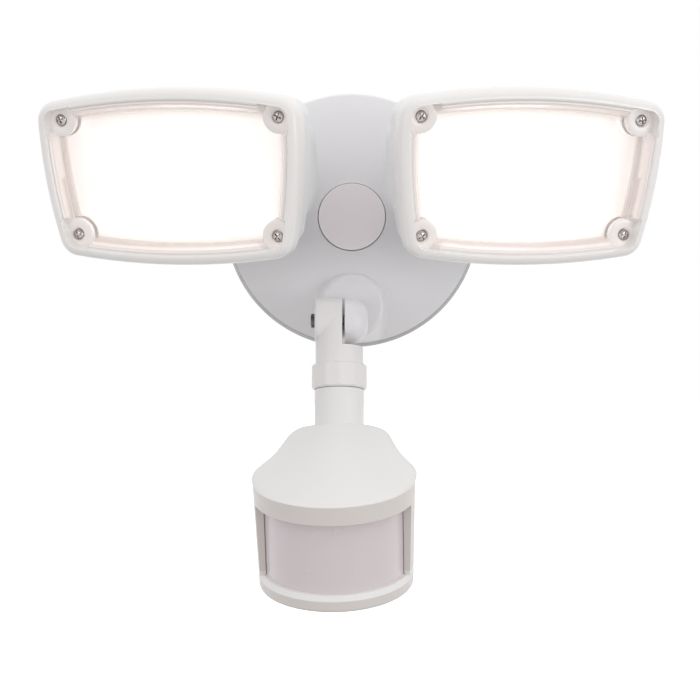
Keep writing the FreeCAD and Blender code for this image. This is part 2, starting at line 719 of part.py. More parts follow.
def makeCanopy():
    front = -dim.canopyHeight
    recessFloor = front + dim.plugRecess
    boltBoss = rod("boltBoss", "y", dim.plugRadius + dim.plugGap + dim.canopyWall,
                   front + dim.canopyWall, recessFloor + dim.boltSeat)
    postReach = dim.driverBack + dim.driverHeight
    posts = [rod("driverPost" + tag, "y", dim.driverPostRadius, front, -postReach, place, dim.driverDrop)
             for tag, place in (("Left", -dim.driverLength / 3), ("Right", dim.driverLength / 3))]
    core = makeDomeCore("domeCore")
    inside = common("domeInside", core, fuse("domeParts", boltBoss, *posts))
    hubs = []
    bores = []
    for side, tag in ((-1, "Left"), (1, "Right")):
        hub, bore = makeHub(side, tag)
        hubs.append(hub)
        bores.append(bore)
    pedestal = cut("pedestalTrimmed", makePedestal(), makeDomeCore("pedestalCore"))
    solid = fuse("canopySolid", makeDome(), inside, pedestal, makeFixedEar(), *hubs)
    recess = rod("plugRecess", "y", dim.plugRadius + dim.plugGap, front - 1, recessFloor)
    boltHole = rod("boltHole", "y", dim.boltRadius + dim.threadGap, front - 1, 0)
    pivotHole = rod("pivotHole", "x", dim.armBoltRadius + dim.threadGap, -dim.armOffset - dim.armRadius,
                    dim.fixedEarWidth - dim.splitOffset - dim.canopyWall, -dim.pivotOut, -dim.pivotDrop)
    behind = box("wallSide", -dim.wallReach, dim.wallReach, -dim.gasketThickness, dim.wallReach,
                 -dim.wallReach, dim.wallReach)
    keep("canopy", cut("canopy", solid, recess, boltHole, pivotHole, behind, *bores))


def makeGasket():
    body = newBody("canopyGasket")
    sketch = newSketch(body, "XZ_Plane")
    outer = dim.canopyRadius - dim.gasketInset
    circle(sketch, 0, 0, outer)
    circle(sketch, 0, 0, outer - dim.gasketWidth)
    feature(body, "Pad", sketch, "pad", dim.gasketThickness)
    keep("canopy_gasket", body)


def makePlug():
    """Snap-in cap: a flat face and a thin skirt that stands on the recess floor."""
    body = newBody("centerPlug")
    sketch = newSketch(body, "XY_Plane")
    front = -dim.canopyHeight
    floor = front + dim.plugRecess
    inner = dim.plugRadius - dim.plugSkirt
    outline(sketch, [
        (0, front),
        (dim.plugRadius, front),
        (dim.plugRadius, floor),
        (inner, floor),
        (inner, front + dim.plugThickness),
        (0, front + dim.plugThickness)])
    turned = revolve(body, sketch)
    rounded(body, turned, ringEdge(dim.plugRadius, front, "y"), dim.plugRound)
    keep("center_plug", body)


def makeStrap():
    body = newBody("mountingStrap")
    sketch = newSketch(body, "XZ_Plane")
    rectangle(sketch, -dim.strapLength / 2, dim.strapLength / 2, -dim.strapWidth / 2, dim.strapWidth / 2)
    plate = feature(body, "Pad", sketch, "pad", dim.strapThickness)
    rounded(body, plate, lambda edge: edge.Length < dim.strapThickness.value + 0.01, dim.strapCorner)
    holes = newSketch(body, "XZ_Plane")
    circle(holes, 0, 0, dim.boltRadius + dim.threadGap)
    circle(holes, dim.groundOffset, 0, dim.groundRadius)
    for side in (-1, 1):
        slot(holes, side * dim.slotSpacing / 2, 0, dim.slotLength, dim.slotWidth)
    feature(body, "Pocket", holes, "slots")
    keep("mounting_strap", body)


def makeMountingBolt():
    floor = -dim.canopyHeight + dim.plugRecess
    head = rod("mountingHead", "y", dim.boltHeadRadius, floor - dim.boltHeadHeight, floor)
    doc.recompute()
    top = ringEdge(dim.boltHeadRadius, floor - dim.boltHeadHeight, "y")
    head = partFillet("mountingHeadRound", head, top, dim.boltHeadHeight / 2)
    shank = rod("mountingShank", "y", dim.boltRadius, floor - 1, -dim.shankShort)
    keep("mounting_bolt", fuse("mountingBolt", head, shank))


def makeGroundScrew():
    start = -dim.strapThickness - dim.groundHeadHeight
    head = rod("groundHead", "y", dim.groundHeadRadius, start, -dim.strapThickness, dim.groundOffset, 0)
    shank = rod("groundShank", "y", dim.groundRadius, start, -dim.shankShort, dim.groundOffset, 0)
    slit = box("groundSlit", dim.groundOffset - dim.groundHeadRadius, dim.groundOffset + dim.groundHeadRadius,
               start - 1, start + dim.groundSlitDepth, -dim.groundSlitWidth / 2, dim.groundSlitWidth / 2)
    keep("ground_screw", cut("groundScrew", fuse("groundSolid", head, shank), slit))


def makeDriver():
    """Potted power module, screwed against two posts inside the dome."""
    body = newBody("driverModule")
    sketch = newSketch(body, "XZ_Plane", dim.driverBack)
    rectangle(sketch, -dim.driverLength / 2, dim.driverLength / 2,
              dim.driverDrop - dim.driverWidth / 2, dim.driverDrop + dim.driverWidth / 2)
    block = feature(body, "Pad", sketch, "pad", dim.driverHeight)
    rounded(body, block, lambda edge: abs(edge.Length - dim.driverHeight.value) < 0.01, dim.driverCorner)
    keep("driver_module", body)


# ---------------------------------------------------------------- sensor arm

def makeArm():
    """Left-hand ear, round arm and the spigot that the sensor's neck turns on."""
    split = dim.armOffset - dim.splitOffset - dim.splitGap / 2
    outer = -dim.armRadius - dim.armEarProud
    ear = rod("armEar", "x", dim.earRadius, outer, split)
    doc.recompute()
    ear = partFillet("armEarRound", ear, ringEdge(dim.earRadius, outer, "x"), dim.armEarRound)
    upper = rod("armUpper", "z", dim.armRadius, -dim.armLength, 0)
    notch = box("armNotch", split, dim.armRadius + 1, -dim.armRadius - 1, dim.armRadius + 1,
                -armStep, dim.earRadius)
    column = cut("armColumn", upper, notch)
    spigot = rod("armSpigot", "z", dim.spigotRadius, -dim.spigotEnd, -dim.armLength)
    solid = fuse("armSolid", ear, column, spigot)
    clear = rod("armEarClear", "x", dim.earRadius + dim.armEarClear, split, dim.armRadius + 1)
    hole = rod("armHole", "x", dim.armBoltRadius + dim.threadGap, -dim.armRadius - 2, dim.armRadius)
    keep("sensor_arm", cut("sensorArm", solid, clear, hole), armFrame())


def makeCollar():
    """Lock collar with faint grip flats and chamfered edges."""
    low = -dim.armLength - dim.collarLength
    flats = doc.addObject("Part::Prism", "collarFlats")
    flats.Polygon = int(dim.collarFlats.value)
    bind(flats, "Circumradius", dim.collarRadius * dim.collarFlatReach)
    bind(flats, "Height", dim.collarLength)
    placeAt(flats, 0, 0, low)
    tube = rod("collarTube", "z", dim.collarRadius, low, -dim.armLength)
    doc.recompute()
    tube = partFillet("collarChamfered", tube, lambda edge: isinstance(edge.Curve, Part.Circle),
                      dim.collarChamfer, "Chamfer")
    bore = rod("collarBore", "z", dim.spigotRadius + dim.threadGap, low - 1, 1 - dim.armLength)
    keep("arm_collar", cut("armCollar", common("collarSolid", flats, tube), bore), armFrame())


def makeArmBolt():
    """Pivot bolt: its head shows at the left, its thread ends in the fixed ear."""
    left = -dim.armRadius - dim.armEarProud
    head = rod("armBoltHead", "x", dim.armBoltHead, left - dim.armBoltHeadHeight, left - dim.threadGap)
    doc.recompute()
    head = partFillet("armBoltHeadRound", head,
                      ringEdge(dim.armBoltHead, left - dim.armBoltHeadHeight, "x"), dim.armBoltRound)
    end = dim.armOffset + dim.fixedEarWidth - dim.splitOffset - dim.canopyWall
    shank = rod("armBoltShank", "x", dim.armBoltRadius, left - 1, end - dim.shankShort)
    keep("arm_pivot_bolt", fuse("armBolt", head, shank), armFrame())


# ---------------------------------------------------------------- sensor head

def hoodSections():
    """Half width, side drop, back end and back drop of the hood's three middle sections."""
    return [
        (dim.crownHalfWidth, dim.crownDrop, dim.crownBack, dim.crownBackDrop),
        (dim.notchHalfWidth, dim.notchDrop, dim.notchBack, dim.notchBackDrop),
        (dim.drumRadius - dim.flankInset, dim.flankDrop, dim.flankBack, dim.flankBackDrop)]


def makeHood():
    """Smooth loft from the neck's foot down to the drum's crease.

    Every section is an ellipse whose front end lies on one straight slope, so the
    hood is flat along its middle and swells only at the sides and the back.
    """
    foot = Vector(0, -dim.neckRadius.value, 0)
    crease = drumOffset().multVec(Vector(0, -dim.drumRadius.value, 0))
    slope = (crease.y - foot.y) / (crease.z - foot.z)
    sections = [Part.Circle(Vector(), Vector(0, 0, 1), dim.neckRadius.value).toShape()]
    for wide, drop, backEnd, backDrop in hoodSections():
        back = Vector(0, backEnd.value, -backDrop.value)
        frontHeight = -2 * drop.value + backDrop.value
        front = Vector(0, foot.y + slope * (frontHeight - foot.z), frontHeight)
        aside = -dim.drumAside.value * drop.value / dim.drumDrop.value
        middle = (front + back) / 2 + Vector(aside, 0, 0)
        along = (back - front) / 2
        up = Vector(1, 0, 0).cross(along).normalize()
        stretch = FreeCAD.Matrix(wide.value, 0, up.x, middle.x, 0, along.y, up.y, middle.y,
                                 0, along.z, up.z, middle.z, 0, 0, 0, 1)
        sections.append(Part.Circle(Vector(), Vector(0, 0, 1), 1).toShape().transformGeometry(stretch))
    last = Part.Circle(Vector(), Vector(0, 0, 1), dim.drumRadius.value).toShape()
    last.Placement = drumOffset()
    sections.append(last)
    made = doc.addObject("Part::Feature", "hood")
    made.Shape = Part.makeLoft([Part.Wire(section.Edges) for section in sections], True, False)
    return made


def makeDrumSolid(name, topRadius, footRadius, start, end):
    """Tapered drum between two places below the crease."""
    return placed(name + "_placed", cone(name, "z", footRadius, topRadius, -end, -start), drumOffset())


def makeJambs(seam):
    """Two side faces of the window, from the drum's wall inward to the lens."""
    outer = cone("jambOuter", "z", dim.drumFootRadius - dim.drumWall / 2,
                 dim.drumRadius - dim.drumWall / 2, -seam, -dim.hoodSkin)
    inner = rod("jambInner", "z", dim.lensRadius + dim.lensGap, -seam - 1, 0)
    ring = placed("jambRing", cut("jambTube", outer, inner), drumOffset())
    wide = makeWindowCut("jambSpace", dim.windowAngle + dim.jambAngle, dim.hoodSkin, seam - dim.seamGap)
    return common("jambs", ring, wide)


def makeSensorHousing():
    neckTop = dim.neckEnd - dim.armLength - dim.collarLength - dim.neckGap
    neck = rod("neckTube", "z", dim.neckRadius, -dim.crownDrop, neckTop)
    seam = dim.drumHeight - dim.rimHeight
    drum = makeDrumSolid("drumOuter", dim.drumRadius, dim.drumFootRadius, 0, seam)
    solid = fuse("sensorSolid", neck, makeHood(), drum)
    hollow = makeDrumSolid("drumHollow", dim.drumRadius - dim.drumWall,
                           dim.drumFootRadius - dim.drumWall, dim.hoodSkin, seam + 1)
    pocket = makeDrumSolid("hoodPocket", dim.hoodPocketTop, dim.hoodPocketFoot,
                           -dim.hoodSkin, dim.hoodSkin + 1)
    bore = rod("neckBore", "z", dim.spigotRadius + dim.threadGap, -dim.boreDepth, neckTop + 1)
    shell = cut("sensorShell", solid, hollow, pocket, bore)
    posts = [rod(f"basePost{number}", "z", dim.basePostRadius, -seam, 1 - dim.hoodSkin, x, y)
             for number, (x, y) in enumerate(screwPlaces())]
    depth = dim.drumHeight - dim.baseScrewLength - 1
    holes = [rod(f"basePostHole{number}", "z", dim.baseScrewRadius, -seam - 1, -depth, x, y)
             for number, (x, y) in enumerate(screwPlaces())]
    posts = placed("basePostsPlaced", fuse("basePosts", *posts), drumOffset())
    holes = placed("basePostHolesPlaced", fuse("basePostHoles", *holes), drumOffset())
    posted = fuse("sensorPosted", shell, posts, makeJambs(seam))
    window = makeWindowCut("windowCut", dim.windowAngle, dim.hoodBand, seam + 1)
    keep("sensor_housing", cut("sensorHousing", posted, holes, window), sensorFrame())


def makeWindowCut(name, angle, top, foot):
    """Wedge about the drum's front between two places below the crease."""
    reach = 2 * dim.drumRadius.value
    half = math.radians(angle.value)
    side = Vector(reach * math.sin(half), -reach * math.cos(half), 0)
    points = [Vector(0, 0, 0), Vector(-side.x, side.y, 0), Vector(-reach, -reach, 0),
              Vector(reach, -reach, 0), side]
    face = Part.Face(Part.makePolygon(points + [points[0]]))
    made = doc.addObject("Part::Feature", name)
    made.Shape = face.extrude(Vector(0, 0, top.value - foot.value))
    made.Placement = drumOffset() * Placement(Vector(0, 0, -top.value), Rotation())
    return made


def screwPlaces():
    """Underside screws: one at the back and one behind each end of the lens."""
    side = dim.baseScrewSide.value
    for angle in (90, 180 - side, side):
        turn = math.radians(angle)
        yield dim.baseScrewCircle * math.cos(turn), dim.baseScrewCircle * math.sin(turn)


def makeSensorBase():
    """Lower rim and underside in one cup, with a ring that carries the lens."""
    seam = dim.drumHeight - dim.rimHeight + dim.seamGap
    foot = dim.drumHeight
    wall = dim.drumFootRadius - dim.drumWall
    body = newBody("sensorBase")
    sketch = newSketch(body, "XZ_Plane")
    ledgeOut = dim.lensRadius + dim.lensLedge
    ledgeIn = dim.lensRadius - dim.lensWall - dim.lensLedge
    floor = foot - dim.drumWall
    outline(sketch, [
        (0, -foot),
        (dim.drumFootRadius - dim.rimFootIn, -foot),
        (dim.drumFootRadius, -(seam + dim.rimBevel)),
        (dim.drumFootRadius - dim.rimBevelIn, -seam),
        (ledgeIn, -seam),
        (ledgeIn, -floor),
        (0, -floor)])
    turned = revolve(body, sketch)
    rounded(body, turned, ringEdge(dim.drumFootRadius - dim.rimFootIn, -foot, "z"), dim.rimFootRound)
    holes = newSketch(body, "XY_Plane")
    for side in (-1, 1):
        circle(holes, side * dim.knobSpacing / 2, -dim.knobBack, dim.knobRadius + dim.knobGap)
    for x, y in screwPlaces():
        circle(holes, x, y, dim.baseScrewRadius + dim.threadGap)
    feature(body, "Pocket", holes, "holes")
    keep("sensor_base", body, drumFrame())


def makeLens():
    """Curved lens strip that stands on the base's ring and rises into the hood."""
    body = newBody("pirLens")
    sketch = newSketch(body, "XZ_Plane")
    low = dim.drumHeight - dim.rimHeight + dim.seamGap
    high = dim.hoodSkin + dim.seamGap
    outline(sketch, [
        (dim.lensRadius - dim.lensWall, -low),
        (dim.lensRadius, -low),
        (dim.lensRadius, -high),
        (dim.lensRadius - dim.lensWall, -high)])
    made = revolve(body, sketch)
    made.Midplane = True
    bind(made, "Angle", dim.lensAngle * 2)
    keep("pir_lens", body, drumFrame() * Placement(Vector(), Rotation(Vector(0, 0, 1), -90)))


def makeSensorBoard():
    floor = -(dim.drumHeight - dim.drumWall)
    board = box("sensorBoard", -dim.boardWidth / 2, dim.boardWidth / 2, dim.boardBack,
                dim.boardBack + dim.boardThickness, floor, -dim.boardTop)
    keep("sensor_board", placed("sensorBoardPlate", board, Placement()), drumFrame())
    high = -(dim.drumHeight * dim.canPlace)
    front = dim.boardBack
    can = rod("detectorCan", "y", dim.canRadius, front - dim.canHeight, front, 0, high)
    flange = rod("detectorFlange", "y", dim.canRadius + dim.canFlange, front - dim.canFlange, front, 0, high)
    keep("pir_element", fuse("pirElement", can, flange), drumFrame())
    cell = rod("lightCell", "y", dim.photocellRadius, front - dim.photocellHeight, front,
               dim.boardWidth / 2 - dim.photocellInset, high - dim.photocellDrop)
    keep("photocell", placed("photocellPlaced", cell, Placement()), drumFrame())


def makeKnobs():
    """Two setting knobs in the underside, each on its own trimmer."""
    foot = -dim.drumHeight
    floor = foot + dim.drumWall
    trimmers = []
    for side, label in ((-1, "time_knob"), (1, "range_knob")):
        x = side * dim.knobSpacing / 2
        y = -dim.knobBack
        top = foot - dim.knobProud + dim.knobHeight
        cap = rod(label + "Cap", "z", dim.knobRadius, foot - dim.knobProud, top, x, y)
        doc.recompute()
        cap = partFillet(label + "Round", cap, ringEdge(dim.knobRadius, foot - dim.knobProud, "z"), dim.knobRound)
        shaft = rod(label + "Shaft", "z", dim.knobShaft, top - 1, floor + dim.trimmerHeight, x, y)
        reach = dim.knobRadius * dim.knobSlitReach
        slit = box(label + "Slit", x - reach, x + reach, y - dim.knobSlitWidth / 2, y + dim.knobSlitWidth / 2,
                   foot - dim.knobProud - 1, foot - dim.knobProud + dim.knobSlitDepth)
        keep(label, cut(label + "Cut", fuse(label + "Solid", cap, shaft), slit), drumFrame())
        half = dim.trimmerSize / 2
        case = box(label + "Trimmer", x - half, x + half, y - half, y + half,
                   floor, floor + dim.trimmerHeight)
        bore = rod(label + "Bore", "z", dim.knobShaft + dim.threadGap, top, top + dim.trimmerHeight + 1, x, y)
        trimmers.append(cut(label + "Case", case, bore))
    made = doc.addObject("Part::Compound", "trimmerCases")
    made.Links = trimmers
    keep("trimmers", made, drumFrame())


def makeBaseScrews():
    foot = -dim.drumHeight
    screws = []
    for number, (x, y) in enumerate(screwPlaces()):
        head = rod(f"baseScrewHead{number}", "z", dim.baseScrewHead, foot - dim.baseScrewHeadHeight, foot, x, y)
        shank = rod(f"baseScrewShank{number}", "z", dim.baseScrewRadius,
                    foot - dim.baseScrewHeadHeight / 2, foot + dim.baseScrewLength, x, y)
        screws.append(fuse(f"baseScrew{number}", head, shank))
    made = doc.addObject("Part::Compound", "baseScrews")
    made.Links = screws
    keep("base_screws", made, drumFrame())


# ---------------------------------------------------------------- lamp heads

def faceOutline(sketch, inset):
    """Face outline: wider at the top, with all four edges bowed a little outward."""
    outline(sketch, [
        (-(dim.faceTopHalf - inset), dim.faceTop - inset, -(dim.crownRadius - inset)),
        (dim.faceTopHalf - inset, dim.faceTop - inset, -(dim.cheekRadius - inset)),
        (dim.faceFootHalf - inset, -(dim.faceFoot - inset), -(dim.crownRadius - inset)),
        (-(dim.faceFootHalf - inset), -(dim.faceFoot - inset), -(dim.cheekRadius - inset))])


def alongDepth(edge):
    """Test for the corner edges of a block that was raised along y."""
    ends = [vertex.Point for vertex in edge.Vertexes]
    if len(ends) < 2:
        return False
    run = ends[1] - ends[0]
    return abs(run.y) > 0.6 * run.Length


def faceBlock(label, inset, front, back, draft=None, body=None):
    """Block with the face's outline between two depths, corners rounded."""
    body = body or newBody(label)
    sketch = newSketch(body, "XZ_Plane", -size(front))
    faceOutline(sketch, size(inset))
    block = feature(body, "Pad", sketch, "pad", back - size(front), True, draft)
    rounded(body, block, alongDepth, dim.faceCorner - inset)
    return body


def bulgeBlock(label, inset, front, back):
    """Narrower block of the housing's back, with rounded corners."""
    body = newBody(label)
    sketch = newSketch(body, "XZ_Plane", -size(front))
    wide = dim.bulgeHalfWidth - inset
    tall = dim.bulgeHalfHeight - inset
    rectangle(sketch, -wide, wide, -tall, tall)
    block = feature(body, "Pad", sketch, "pad", back - size(front), True, -dim.bulgeDraft)
    rounded(body, block, alongDepth, dim.bulgeCorner - inset)
    return body


def lensScrewPlaces():
    for side in (-1, 1):
        yield side * dim.screwTopHalf, dim.screwHeight
        yield side * dim.screwFootHalf, -dim.screwHeight


def makeHousing(tag):
    """Two-stepped shell with screw posts and the lug of its pivot."""
    front = dim.lensBack + dim.lensGasket
    outer = faceBlock("shell" + tag, dim.shellInset, front, dim.shellDepth, -dim.shellDraft)
    bulge = bulgeBlock("bulge" + tag, 0, front + dim.bulgeStart, dim.bulgeDepth)
    doc.recompute()
    backEdges = lambda edge: all(abs(v.Point.y - dim.bulgeDepth.value) < 0.01 for v in edge.Vertexes)
    bulge = partFillet("bulgeRound" + tag, bulge, backEdges, dim.bulgeRound)
    pivot = dim.bulgeDepth + dim.lugReach
    low = -dim.lugWidth
    lug = rod("lug" + tag, "z", dim.lugRadius, low, -dim.lugGap / 2, 0, pivot)
    web = box("lugWeb" + tag, -dim.lugRadius, dim.lugRadius, dim.bulgeDepth - 1, pivot, low, -dim.lugGap / 2)
    solid = fuse("housingSolid" + tag, outer, bulge, lug, web)
    hollowFront = faceBlock("shellHollow" + tag, dim.shellInset + dim.shellWall, front - 1,
                            dim.shellDepth - dim.shellWall, -dim.shellDraft)
    hollowBack = bulgeBlock("bulgeHollow" + tag, dim.shellWall, front + dim.bulgeStart, dim.bulgeDepth - dim.shellWall)
    hole = rod("lugHole" + tag, "z", dim.lampBoltRadius, low - 1, 1, 0, pivot)
    shell = cut("housingShell" + tag, solid, hollowFront, hollowBack, hole)
    posts = [rod(f"post{tag}{number}", "y", dim.screwBoss, front, dim.shellDepth - 1, x, z)
             for number, (x, z) in enumerate(lensScrewPlaces())]
    space = faceBlock("postSpace" + tag, dim.shellInset + dim.postInset, front, dim.shellDepth, -dim.shellDraft)
    trimmed = common("postsTrimmed" + tag, fuse("posts" + tag, *posts), space)
    posted = fuse("housingPosted" + tag, shell, trimmed)
    end = dim.screwLength + dim.postHoleSpare
    holes = [rod(f"postHole{tag}{number}", "y", dim.screwRadius, front - 1, end, x, z)
             for number, (x, z) in enumerate(lensScrewPlaces())]
    return cut("housing" + tag, posted, *holes)


def makeLensCover(tag):
    """Clear cover: rounded rim, a step, a slope, the window and four sunk screw seats."""
    front = -dim.lensFront
    outer = faceBlock("coverOuter" + tag, 0, front, dim.lensBack)
    doc.recompute()
    frontEdges = lambda edge: all(abs(v.Point.y - front.value) < 0.01 for v in edge.Vertexes)
    outer = partFillet("coverRounded" + tag, outer, frontEdges, dim.lensEdgeRound)
    tools = []
    steps = ((dim.lensStep, front - 1, front + dim.lensStepDepth),
             (dim.lensStep + dim.lensStepWidth, front, front + dim.lensStepFoot))
    for number, (inset, start, end) in enumerate(steps):
        tools.append(faceBlock(f"coverStep{tag}{number}", inset, start, end))
    tools.append(faceBlock("coverWindow" + tag, dim.lensSlope, front, -dim.windowProud))
    tools.append(faceBlock("coverHollow" + tag, dim.shellInset + dim.shellWall + dim.lensHollowIn, dim.lensSkin - dim.windowProud,
                           dim.lensBack + 1))
    shell = cut("coverShell" + tag, outer, *tools)
    seats = [rod(f"coverSeat{tag}{number}", "y", dim.screwBoss, -dim.windowProud, dim.lensBack, x, z)
             for number, (x, z) in enumerate(lensScrewPlaces())]
    wells = [rod(f"coverWell{tag}{number}", "y", dim.screwHead + dim.screwWell, front - 1, 0, x, z)
             for number, (x, z) in enumerate(lensScrewPlaces())]
    holes = [rod(f"coverHole{tag}{number}", "y", dim.screwRadius + dim.threadGap, -2, dim.lensBack + 1, x, z)
             for number, (x, z) in enumerate(lensScrewPlaces())]
    return cut("cover" + tag, fuse("coverSeated" + tag, shell, *seats), *wells, *holes)


def makeLensGasket(tag):
    front = dim.lensBack
    back = front + dim.lensGasket
    outer = faceBlock("sealOuter" + tag, dim.shellInset + dim.gasketIn, front, back)
    inner = faceBlock("sealInner" + tag, dim.shellInset + dim.shellWall, front - 1, back + 1)
    return cut("seal" + tag, outer, inner)


def makeReflector(tag):
    """Bright tray that narrows from the lens to the light source."""
    def tray(name, inset, grow, front, back):
        wide = dim.faceTopHalf.value - size(inset).value
        foot = dim.faceFootHalf.value - size(inset).value
        top = dim.faceTop.value - size(inset).value
        low = dim.faceFoot.value - size(inset).value
        mouth = [Vector(-wide, front, top), Vector(wide, front, top), Vector(foot, front, -low),
                 Vector(-foot, front, -low)]
        halfWide = dim.lightHalfWidth.value + grow
        halfTall = dim.lightHalfHeight.value + grow
        throat = [Vector(-halfWide, back, halfTall), Vector(halfWide, back, halfTall),
                  Vector(halfWide, back, -halfTall), Vector(-halfWide, back, -halfTall)]
        rings = [Part.makePolygon(ring + [ring[0]]) for ring in (mouth, throat)]
        made = doc.addObject("Part::Feature", name + tag)
        made.Shape = Part.makeLoft(rings, True, True)
        return made
    front = dim.reflectorFront.value
    back = dim.reflectorBack.value
    wall = dim.reflectorWall.value
    outside = tray("trayOutside", dim.reflectorInset, wall, front, back)
    inside = tray("trayInside", dim.reflectorInset + wall, 0, front - 0.01, back + 0.01)
    notches = [rod(f"trayNotch{tag}{number}", "y", dim.screwBoss + dim.reflectorClear, front - 1, dim.shellDepth, x, z)
               for number, (x, z) in enumerate(lensScrewPlaces())]
    return cut("reflector" + tag, outside, inside, *notches)


def makeLightBoard(tag):
    """Metal-core board behind the reflector, on two ribs' height of the housing's back."""
    back = dim.reflectorBack + dim.boardThickness
    body = newBody("lightBoard" + tag)
    sketch = newSketch(body, "XZ_Plane", -dim.reflectorBack)
    wide = dim.lightBoardHalfWidth
    tall = dim.lightBoardHalfHeight
    rectangle(sketch, -wide, wide, -tall, tall)
    feature(body, "Pad", sketch, "pad", back - dim.reflectorBack, True)
    return body


def makeHeatBlock(tag):
    """Finned block that carries the board against the housing's back wall."""
    front = dim.reflectorBack + dim.boardThickness
    back = dim.bulgeDepth - dim.shellWall
    wide = dim.lightBoardHalfWidth
    tall = dim.lightBoardHalfHeight
    plate = box("heatPlate" + tag, -wide, wide, front, front + dim.heatPlate, -tall, tall)
    pitch = wide * 2 / (dim.heatFins - 1 + dim.finShare)
    fins = []
    for number in range(int(dim.heatFins.value)):
        left = pitch * number - wide
        fins.append(box(f"heatFin{tag}{number}", left, left + pitch * dim.finShare,
                        front + dim.heatPlate / 2, back, -tall, tall))
    return fuse("heatBlock" + tag, plate, *fins)


def makeChips(tag):
    columns = int(dim.chipColumns.value)
    rows = int(dim.chipRows.value)
    half = dim.chipSide / 2
    chips = []
    for column in range(columns):
        for row in range(rows):
            x = dim.chipPitch * (column - (columns - 1) / 2)
            z = dim.chipPitch * (row - (rows - 1) / 2)
            chips.append(box(f"chip{tag}{column}x{row}", x - half, x + half,
                             dim.reflectorBack - dim.chipHeight, dim.reflectorBack, z - half, z + half))
    made = doc.addObject("Part::Compound", "chips" + tag)
    made.Links = chips
    return made


def makeLensScrews(tag):
    screws = []
    for number, (x, z) in enumerate(lensScrewPlaces()):
        head = rod(f"screwHead{tag}{number}", "y", dim.screwHead, -dim.screwHeadHeight, 0, x, z)
        doc.recompute()
        head = partFillet(f"screwDome{tag}{number}", head,
                          ringEdge(dim.screwHead, -dim.screwHeadHeight, "y"), dim.screwHeadHeight * dim.screwHeadRound)
        shank = rod(f"screwShank{tag}{number}", "y", dim.screwRadius, -1, dim.screwLength, x, z)
        screws.append(fuse(f"screw{tag}{number}", head, shank))
    made = doc.addObject("Part::Compound", "lensScrews" + tag)
    made.Links = screws
    return made


def makeStem(tag):
    """Upper ear of the lamp's pivot, round stem and the shank that turns in the hub."""
    ear = rod("stemEar" + tag, "z", dim.lugRadius, dim.lugGap / 2, dim.lugWidth)
    end = dim.stemReach - dim.hubProud - dim.lockNutLength
    web = box("stemWeb" + tag, -dim.lugRadius * dim.stemWebWidth, dim.lugRadius * dim.stemWebWidth, 0, dim.stemStart + 1,
              dim.lugGap / 2, dim.lugWidth * dim.stemWebHeight)
    stem = rod("stemRod" + tag, "y", dim.stemRadius, dim.stemStart, end)
    shank = rod("stemShank" + tag, "y", dim.shankRadius, end, dim.stemReach + dim.hubDepth)
    hole = rod("stemHole" + tag, "z", dim.lampBoltRadius + dim.threadGap, -1, dim.lugWidth + 1)
    return cut("stem" + tag, fuse("stemSolid" + tag, ear, web, stem, shank), hole)


def makeLockNut(tag):
    start = dim.stemReach - dim.hubProud - dim.lockNutLength
    end = dim.stemReach - dim.hubProud - dim.seamGap
    flats = doc.addObject("Part::Prism", "nutFlats" + tag)
    flats.Polygon = 6
    bind(flats, "Circumradius", dim.lockNutRadius)
    bind(flats, "Height", end - start)
    placeAt(flats, 0, start, 0, "y")
    disc = cone("nutDisc" + tag, "y", dim.lockNutRadius * dim.nutFront, dim.lockNutRadius * dim.nutBack,
                start, end)
    bore = rod("nutBore" + tag, "y", dim.shankRadius, start - 1, end + 1)
    return cut("nut" + tag, common("nutSolid" + tag, flats, disc), bore)


def makeLampBolt(tag):
    """Pivot bolt of a lamp, with its head on the stem's ear and its end in the lug."""
    top = dim.lugWidth + dim.lampBoltHeadHeight
    head = rod("lampBoltHead" + tag, "z", dim.lampBoltHead, dim.lugWidth + dim.threadGap, top)
    doc.recompute()
    head = partFillet("lampBoltRound" + tag, head, ringEdge(dim.lampBoltHead, top, "z"), dim.lampBoltRound)
    shank = rod("lampBoltShank" + tag, "z", dim.lampBoltRadius, -dim.lugWidth, dim.lugWidth + 1)
    return fuse("lampBolt" + tag, head, shank)


def makeLamp(side, tag):
    head = headFrame(side)
    stem = stemFrame(side)
    keep(tag + "_housing", makeHousing(tag), head)
    keep(tag + "_lens_cover", makeLensCover(tag), head)
    keep(tag + "_lens_gasket", makeLensGasket(tag), head)
    keep(tag + "_reflector", makeReflector(tag), head)
    keep(tag + "_led_board", makeLightBoard(tag), head)
    keep(tag + "_led_chips", makeChips(tag), head)
    keep(tag + "_heat_sink", makeHeatBlock(tag), head)
    keep(tag + "_lens_screws", makeLensScrews(tag), head)
    keep(tag + "_stem", makeStem(tag), stem)
    keep(tag + "_lock_nut", makeLockNut(tag), stem)
    keep(tag + "_pivot_bolt", makeLampBolt(tag), stem)


# ---------------------------------------------------------------- the whole light

makeCanopy()
makeGasket()
makePlug()
makeStrap()
makeMountingBolt()
makeGroundScrew()
makeDriver()
makeArm()
makeCollar()
makeArmBolt()
makeSensorHousing()
makeSensorBase()
makeLens()
makeSensorBoard()
makeKnobs()
makeBaseScrews()
makeLamp(-1, "left")
makeLamp(1, "right")
doc.recompute()

for item in doc.Objects:
    if "Invalid" in item.State or "Error" in item.State:
        raise RuntimeError(f"{item.Label} did not build: {item.State}")
for node in nodes:
    if node.Shape.isNull() or not node.Shape.isValid() or node.Shape.Volume <= 0:
        raise RuntimeError(f"{node.Label} has no sound shape")

os.makedirs("parts", exist_ok=True)
for node in nodes:
    node.Shape.exportStep(f"parts/{node.Label}.step")
    box3 = node.Shape.BoundBox
    print(f"{node.Label:20s} solids {len(node.Shape.Solids):3d} volume {node.Shape.Volume:10.1f} "
          f"x {box3.XMin:7.1f} {box3.XMax:7.1f} y {box3.YMin:7.1f} {box3.YMax:7.1f} "
          f"z {box3.ZMin:7.1f} {box3.ZMax:7.1f}")
